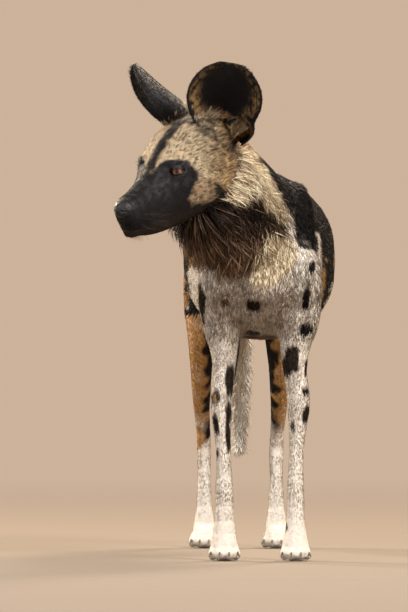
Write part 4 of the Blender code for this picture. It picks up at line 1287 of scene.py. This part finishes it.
# The eyes: wet balls, whose clear front bulges over a dark pupil and an amber iris with fine spokes. The
# colour runs by the angle from the way the eye looks.
EYE_RADIUS = 0.0112
EYE_SIDE = 0.0340
EYE_SPLAY = math.radians(38)
EYE_DROP = math.radians(4)
CORNEA_REACH = math.radians(42)
CORNEA_RISE = 0.0006


def eye_pose(side):
    """The frame of one eye, which looks along its -Y."""
    place = Matrix.Translation((side * EYE_SIDE, EYE_SETTING.y, EYE_SETTING.z))
    turned = Matrix.Rotation(side * EYE_SPLAY, 4, "Z") @ Matrix.Rotation(EYE_DROP, 4, "X")
    return head_pose @ place @ turned


eye_finish = Finish("wet eye", Roughness=0.25, Coat_Weight=0.5, Coat_Roughness=0.04)
gaze = eye_finish.node("Attribute", {"attribute_name": "gaze"}, output=2)
spokes = eye_finish.noise(1500.0)
iris_stops = [
    (0.0, (0.002, 0.002, 0.002, 1)),
    (0.072, (0.003, 0.002, 0.002, 1)),
    (0.082, (0.200, 0.050, 0.008, 1)),
    (0.150, (0.420, 0.125, 0.018, 1)),
    (0.190, (0.300, 0.085, 0.012, 1)),
    (0.215, (0.020, 0.010, 0.006, 1)),
    (1.0, (0.030, 0.018, 0.012, 1)),
]
iris = eye_finish.node("ValToRGB", {"stops": iris_stops}, _0=gaze)
eye_finish.feed("Base Color", eye_finish.mix(spokes * 0.5, iris, (0.01, 0.004, 0.002, 1)))
for side, node in ((1, "eye_left"), (-1, "eye_right")):
    bm = bmesh.new()
    bmesh.ops.create_uvsphere(bm, u_segments=64, v_segments=48, radius=EYE_RADIUS)
    gazes = [vert.co.angle(Vector((0, 0, 1))) for vert in bm.verts]
    for vert, angle in zip(bm.verts, gazes):
        vert.co *= 1 + CORNEA_RISE / EYE_RADIUS * max(0, 1 - (angle / CORNEA_REACH) ** 2)
    bm.transform(eye_pose(side) @ Matrix.Rotation(math.radians(90), 4, "X"))
    eye = new_piece("ball_" + node, meshed("ball_" + node, bm))
    eye.data.shade_smooth()
    layer = eye.data.attributes.new("gaze", "FLOAT", "POINT")
    layer.data.foreach_set("value", [angle / math.pi for angle in gazes])
    eye.data.materials.append(eye_finish.material)
    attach(eye, "root")
    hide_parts(node)

# The rims of the lids: moist black skin, a thin roll along the edge of each lid, thickest at the middle.
LID_PITCH = {"upper": math.radians(18), "lower": math.radians(-20)}
LID_SWING = math.radians(84)
LID_STEPS = 24
LID_STAND = EYE_RADIUS + 0.0007
LID_ROLL = 0.0010


def lid_edge(side, pitch, swing, stand):
    """A place on the edge of a lid, by how far round the eye it is."""
    lifted = pitch * math.cos(0.98 * swing)
    flat = math.cos(lifted)
    way = Vector((math.sin(swing) * flat, -math.cos(swing) * flat, math.sin(lifted)))
    return eye_pose(side) @ (way * stand)


rim_finish = Finish("lid rim", Roughness=0.32, Base_Color=(0.010, 0.008, 0.008, 1))
rim_grain = rim_finish.noise(1800.0, 3.0)
rim_finish.feed("Base Color", rim_finish.mix(rim_grain, (0.006, 0.005, 0.005, 1), (0.020, 0.015, 0.014, 1)))
rim_finish.feed("Normal", rim_finish.node("Bump", Strength=0.3, Distance=0.0003, Height=rim_grain))
bm = bmesh.new()
for side in (1, -1):
    for pitch in LID_PITCH.values():
        swings = [LID_SWING * (2 * step / LID_STEPS - 1) for step in range(LID_STEPS + 1)]
        line = [lid_edge(side, pitch, swing, LID_STAND) for swing in swings]
        rolls = [LID_ROLL * (0.45 + 0.55 * math.cos(swing)) for swing in swings]
        loft(bm, sections(line, [(roll,) * 3 for roll in rolls]), 10)
bmesh.ops.recalc_face_normals(bm, faces=bm.faces)
rims = new_piece("lid_rims", meshed("lid_rims", bm))
rims.data.shade_smooth()
rims.data.materials.append(rim_finish.material)
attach(rims, "root")

# The nose: bare black leather of small raised cells, moist, with a nostril on each side.
NOSE_VOXEL = 0.0006
NOSE_SWELL = 0.0024
NOSE_SHRINK = 0.0004
NOSE_ROOM = (0.0005, 0.007)
nose = merged_pieces("nose_leather", ["nose"], [])
fuse(nose, NOSE_VOXEL)
soften(nose, np.ones(len(nose.data.vertices)), 10)
places = array_of(nose.data.vertices, "co", 3)
room = np.minimum(places - np.array(cad_low), np.array(cad_high) - places).min(axis=1)
swell = (NOSE_SWELL + NOSE_SHRINK) * ramp(room, *NOSE_ROOM) - NOSE_SHRINK
places += array_of(nose.data.vertex_normals, "vector", 3) * swell[:, None]
nose.data.vertices.foreach_set("co", places.ravel())
nose.data.shade_smooth()
nose_finish = Finish("nose leather", Roughness=0.45, Specular_IOR_Level=0.30)
cells = nose_finish.node("TexVoronoi", Vector=nose_finish.places(), Scale=620.0)
nose_finish.feed("Base Color", nose_finish.mix(cells, (0.005, 0.006, 0.009, 1), (0.002, 0.002, 0.003, 1)))
nose_finish.feed("Roughness", cells * 0.2 + 0.40)
nose_finish.feed("Normal", nose_finish.node("Bump", Strength=0.3, Distance=0.0004, Height=1 - cells))
nose.data.materials.clear()
nose.data.materials.append(nose_finish.material)
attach(nose, "root")
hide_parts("nose")

# The claws: dark worn horn with fine lines along it.
horn = Finish("claw horn", Roughness=0.42)
horn_stretch = horn.node("Mapping", _0=horn.places(), _3=(900.0, 160.0, 900.0))
horn_lines = horn.node("TexNoise", Vector=horn_stretch, Scale=1.0, Detail=3.0)
horn.feed("Base Color", horn.mix(horn_lines, (0.020, 0.015, 0.012, 1), (0.110, 0.085, 0.065, 1)))
horn.feed("Normal", horn.node("Bump", Strength=0.25, Distance=0.0003, Height=horn_lines))
for name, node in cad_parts.items():
    if name.startswith("claw"):
        node.data.materials.clear()
        node.data.materials.append(horn.material)

# Single long hairs: whiskers on the lips and brows, pale hairs under the chin, lashes over the eyes, and
# the cream hair that stands in the mouth of each ear.
whisker_finish = Finish("whisker", Roughness=0.4)
whisker_tone = whisker_finish.node("Attribute", {"attribute_name": "pelt"})
whisker_grain = whisker_finish.noise(900.0)
whisker_finish.feed("Base Color", whisker_finish.mix(whisker_grain * 0.3, whisker_tone, (0.0, 0.0, 0.0, 1)))

# On the lips, in two bands along the muzzle's sides.
LIP_FRONT, LIP_BACK = (-0.098, -0.090), (-0.055, -0.045)
LIP_HEIGHT, LIP_HALF = -0.056, (0.010, 0.014)
lips = head_faces * band(face_in_head[:, 1], LIP_FRONT, LIP_BACK)
lips = lips * fade(np.abs(face_in_head[:, 2] - LIP_HEIGHT), *LIP_HALF)
whisker_roots = rooted(lips, count=44, seed=121)
tufts(
    "whiskers", whisker_roots, length=0.026, width=0.0004, thick=0.0004, lift=2.2, sag=0.10, steps=6,
    swing=14, tips=1.0, tone=SOOT, finish=whisker_finish
)

# Under the chin, where the skin faces down.
CHIN_DOWN, CHIN_BACK = (-0.92, -0.80), (-0.075, -0.055)
normals_in_head = (skin_normals @ to_head[:3, :3].T)[skin_faces[:, 0]]
chin = head_faces * fade(normals_in_head[:, 2], *CHIN_DOWN) * fade(face_in_head[:, 1], *CHIN_BACK)
chin_roots = rooted(chin, count=70, seed=122)
tufts(
    "chin_hairs", chin_roots, length=0.0060, width=0.0003, thick=0.0003, lift=3.0, sag=0.0, steps=2,
    swing=25, tips=1.0, tone=FAWN * 1.4
)

# Over each eye, on the upper lid.
LASH_HEIGHT, LASH_REACH = 0.004, 0.0165
for side in ("left", "right"):
    from_eye = face_in_head - np.array(head_pose.inverted() @ Vector(middle("eye_" + side)))
    lid = head_faces * (from_eye[:, 2] > LASH_HEIGHT) * (np.linalg.norm(from_eye, axis=1) < LASH_REACH)
    lash_roots = rooted(lid, count=60, seed=124)
    tufts(
        "lashes_" + side, lash_roots, length=0.0085, width=0.0005, thick=0.0004, lift=1.2, sag=0.0, steps=3,
        swing=20, tips=1.0, tone=BLACK
    )

# In the mouth of each ear, on the inner half of its cup, between its foot and its rim.
MOUTH_LOW, MOUTH_TOP = (0.02, 0.06), (0.16, 0.24)
MOUTH_RIM, MOUTH_DEEP = (0.010, 0.016), (0.022, 0.028)
for name in EARS:
    ear = in_ear(face_middle, name)
    height = ear[:, 2] / EAR_LENGTH
    from_rim = ear_half(height) - np.abs(ear[:, 0])
    cup = is_in(face_region, name) * ~ear_back(ear) * (ear[:, 0] * EAR_INWARD[name] > 0)
    at_mouth = cup * band(height, MOUTH_LOW, MOUTH_TOP) * band(from_rim, MOUTH_RIM, MOUTH_DEEP)
    mouth_roots = rooted(at_mouth, count=150, seed=123)
    tufts(
        "hair_" + name, mouth_roots, length=0.019, width=0.0007, thick=0.0004, lift=0.40, sag=0.0, steps=3,
        swing=14, tips=1.1, tone=CREAM * 0.9
    )

bounds_low, bounds_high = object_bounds()
sizes = {"cad": [list(cad_low), list(cad_high)], "visual": [list(bounds_low), list(bounds_high)]}
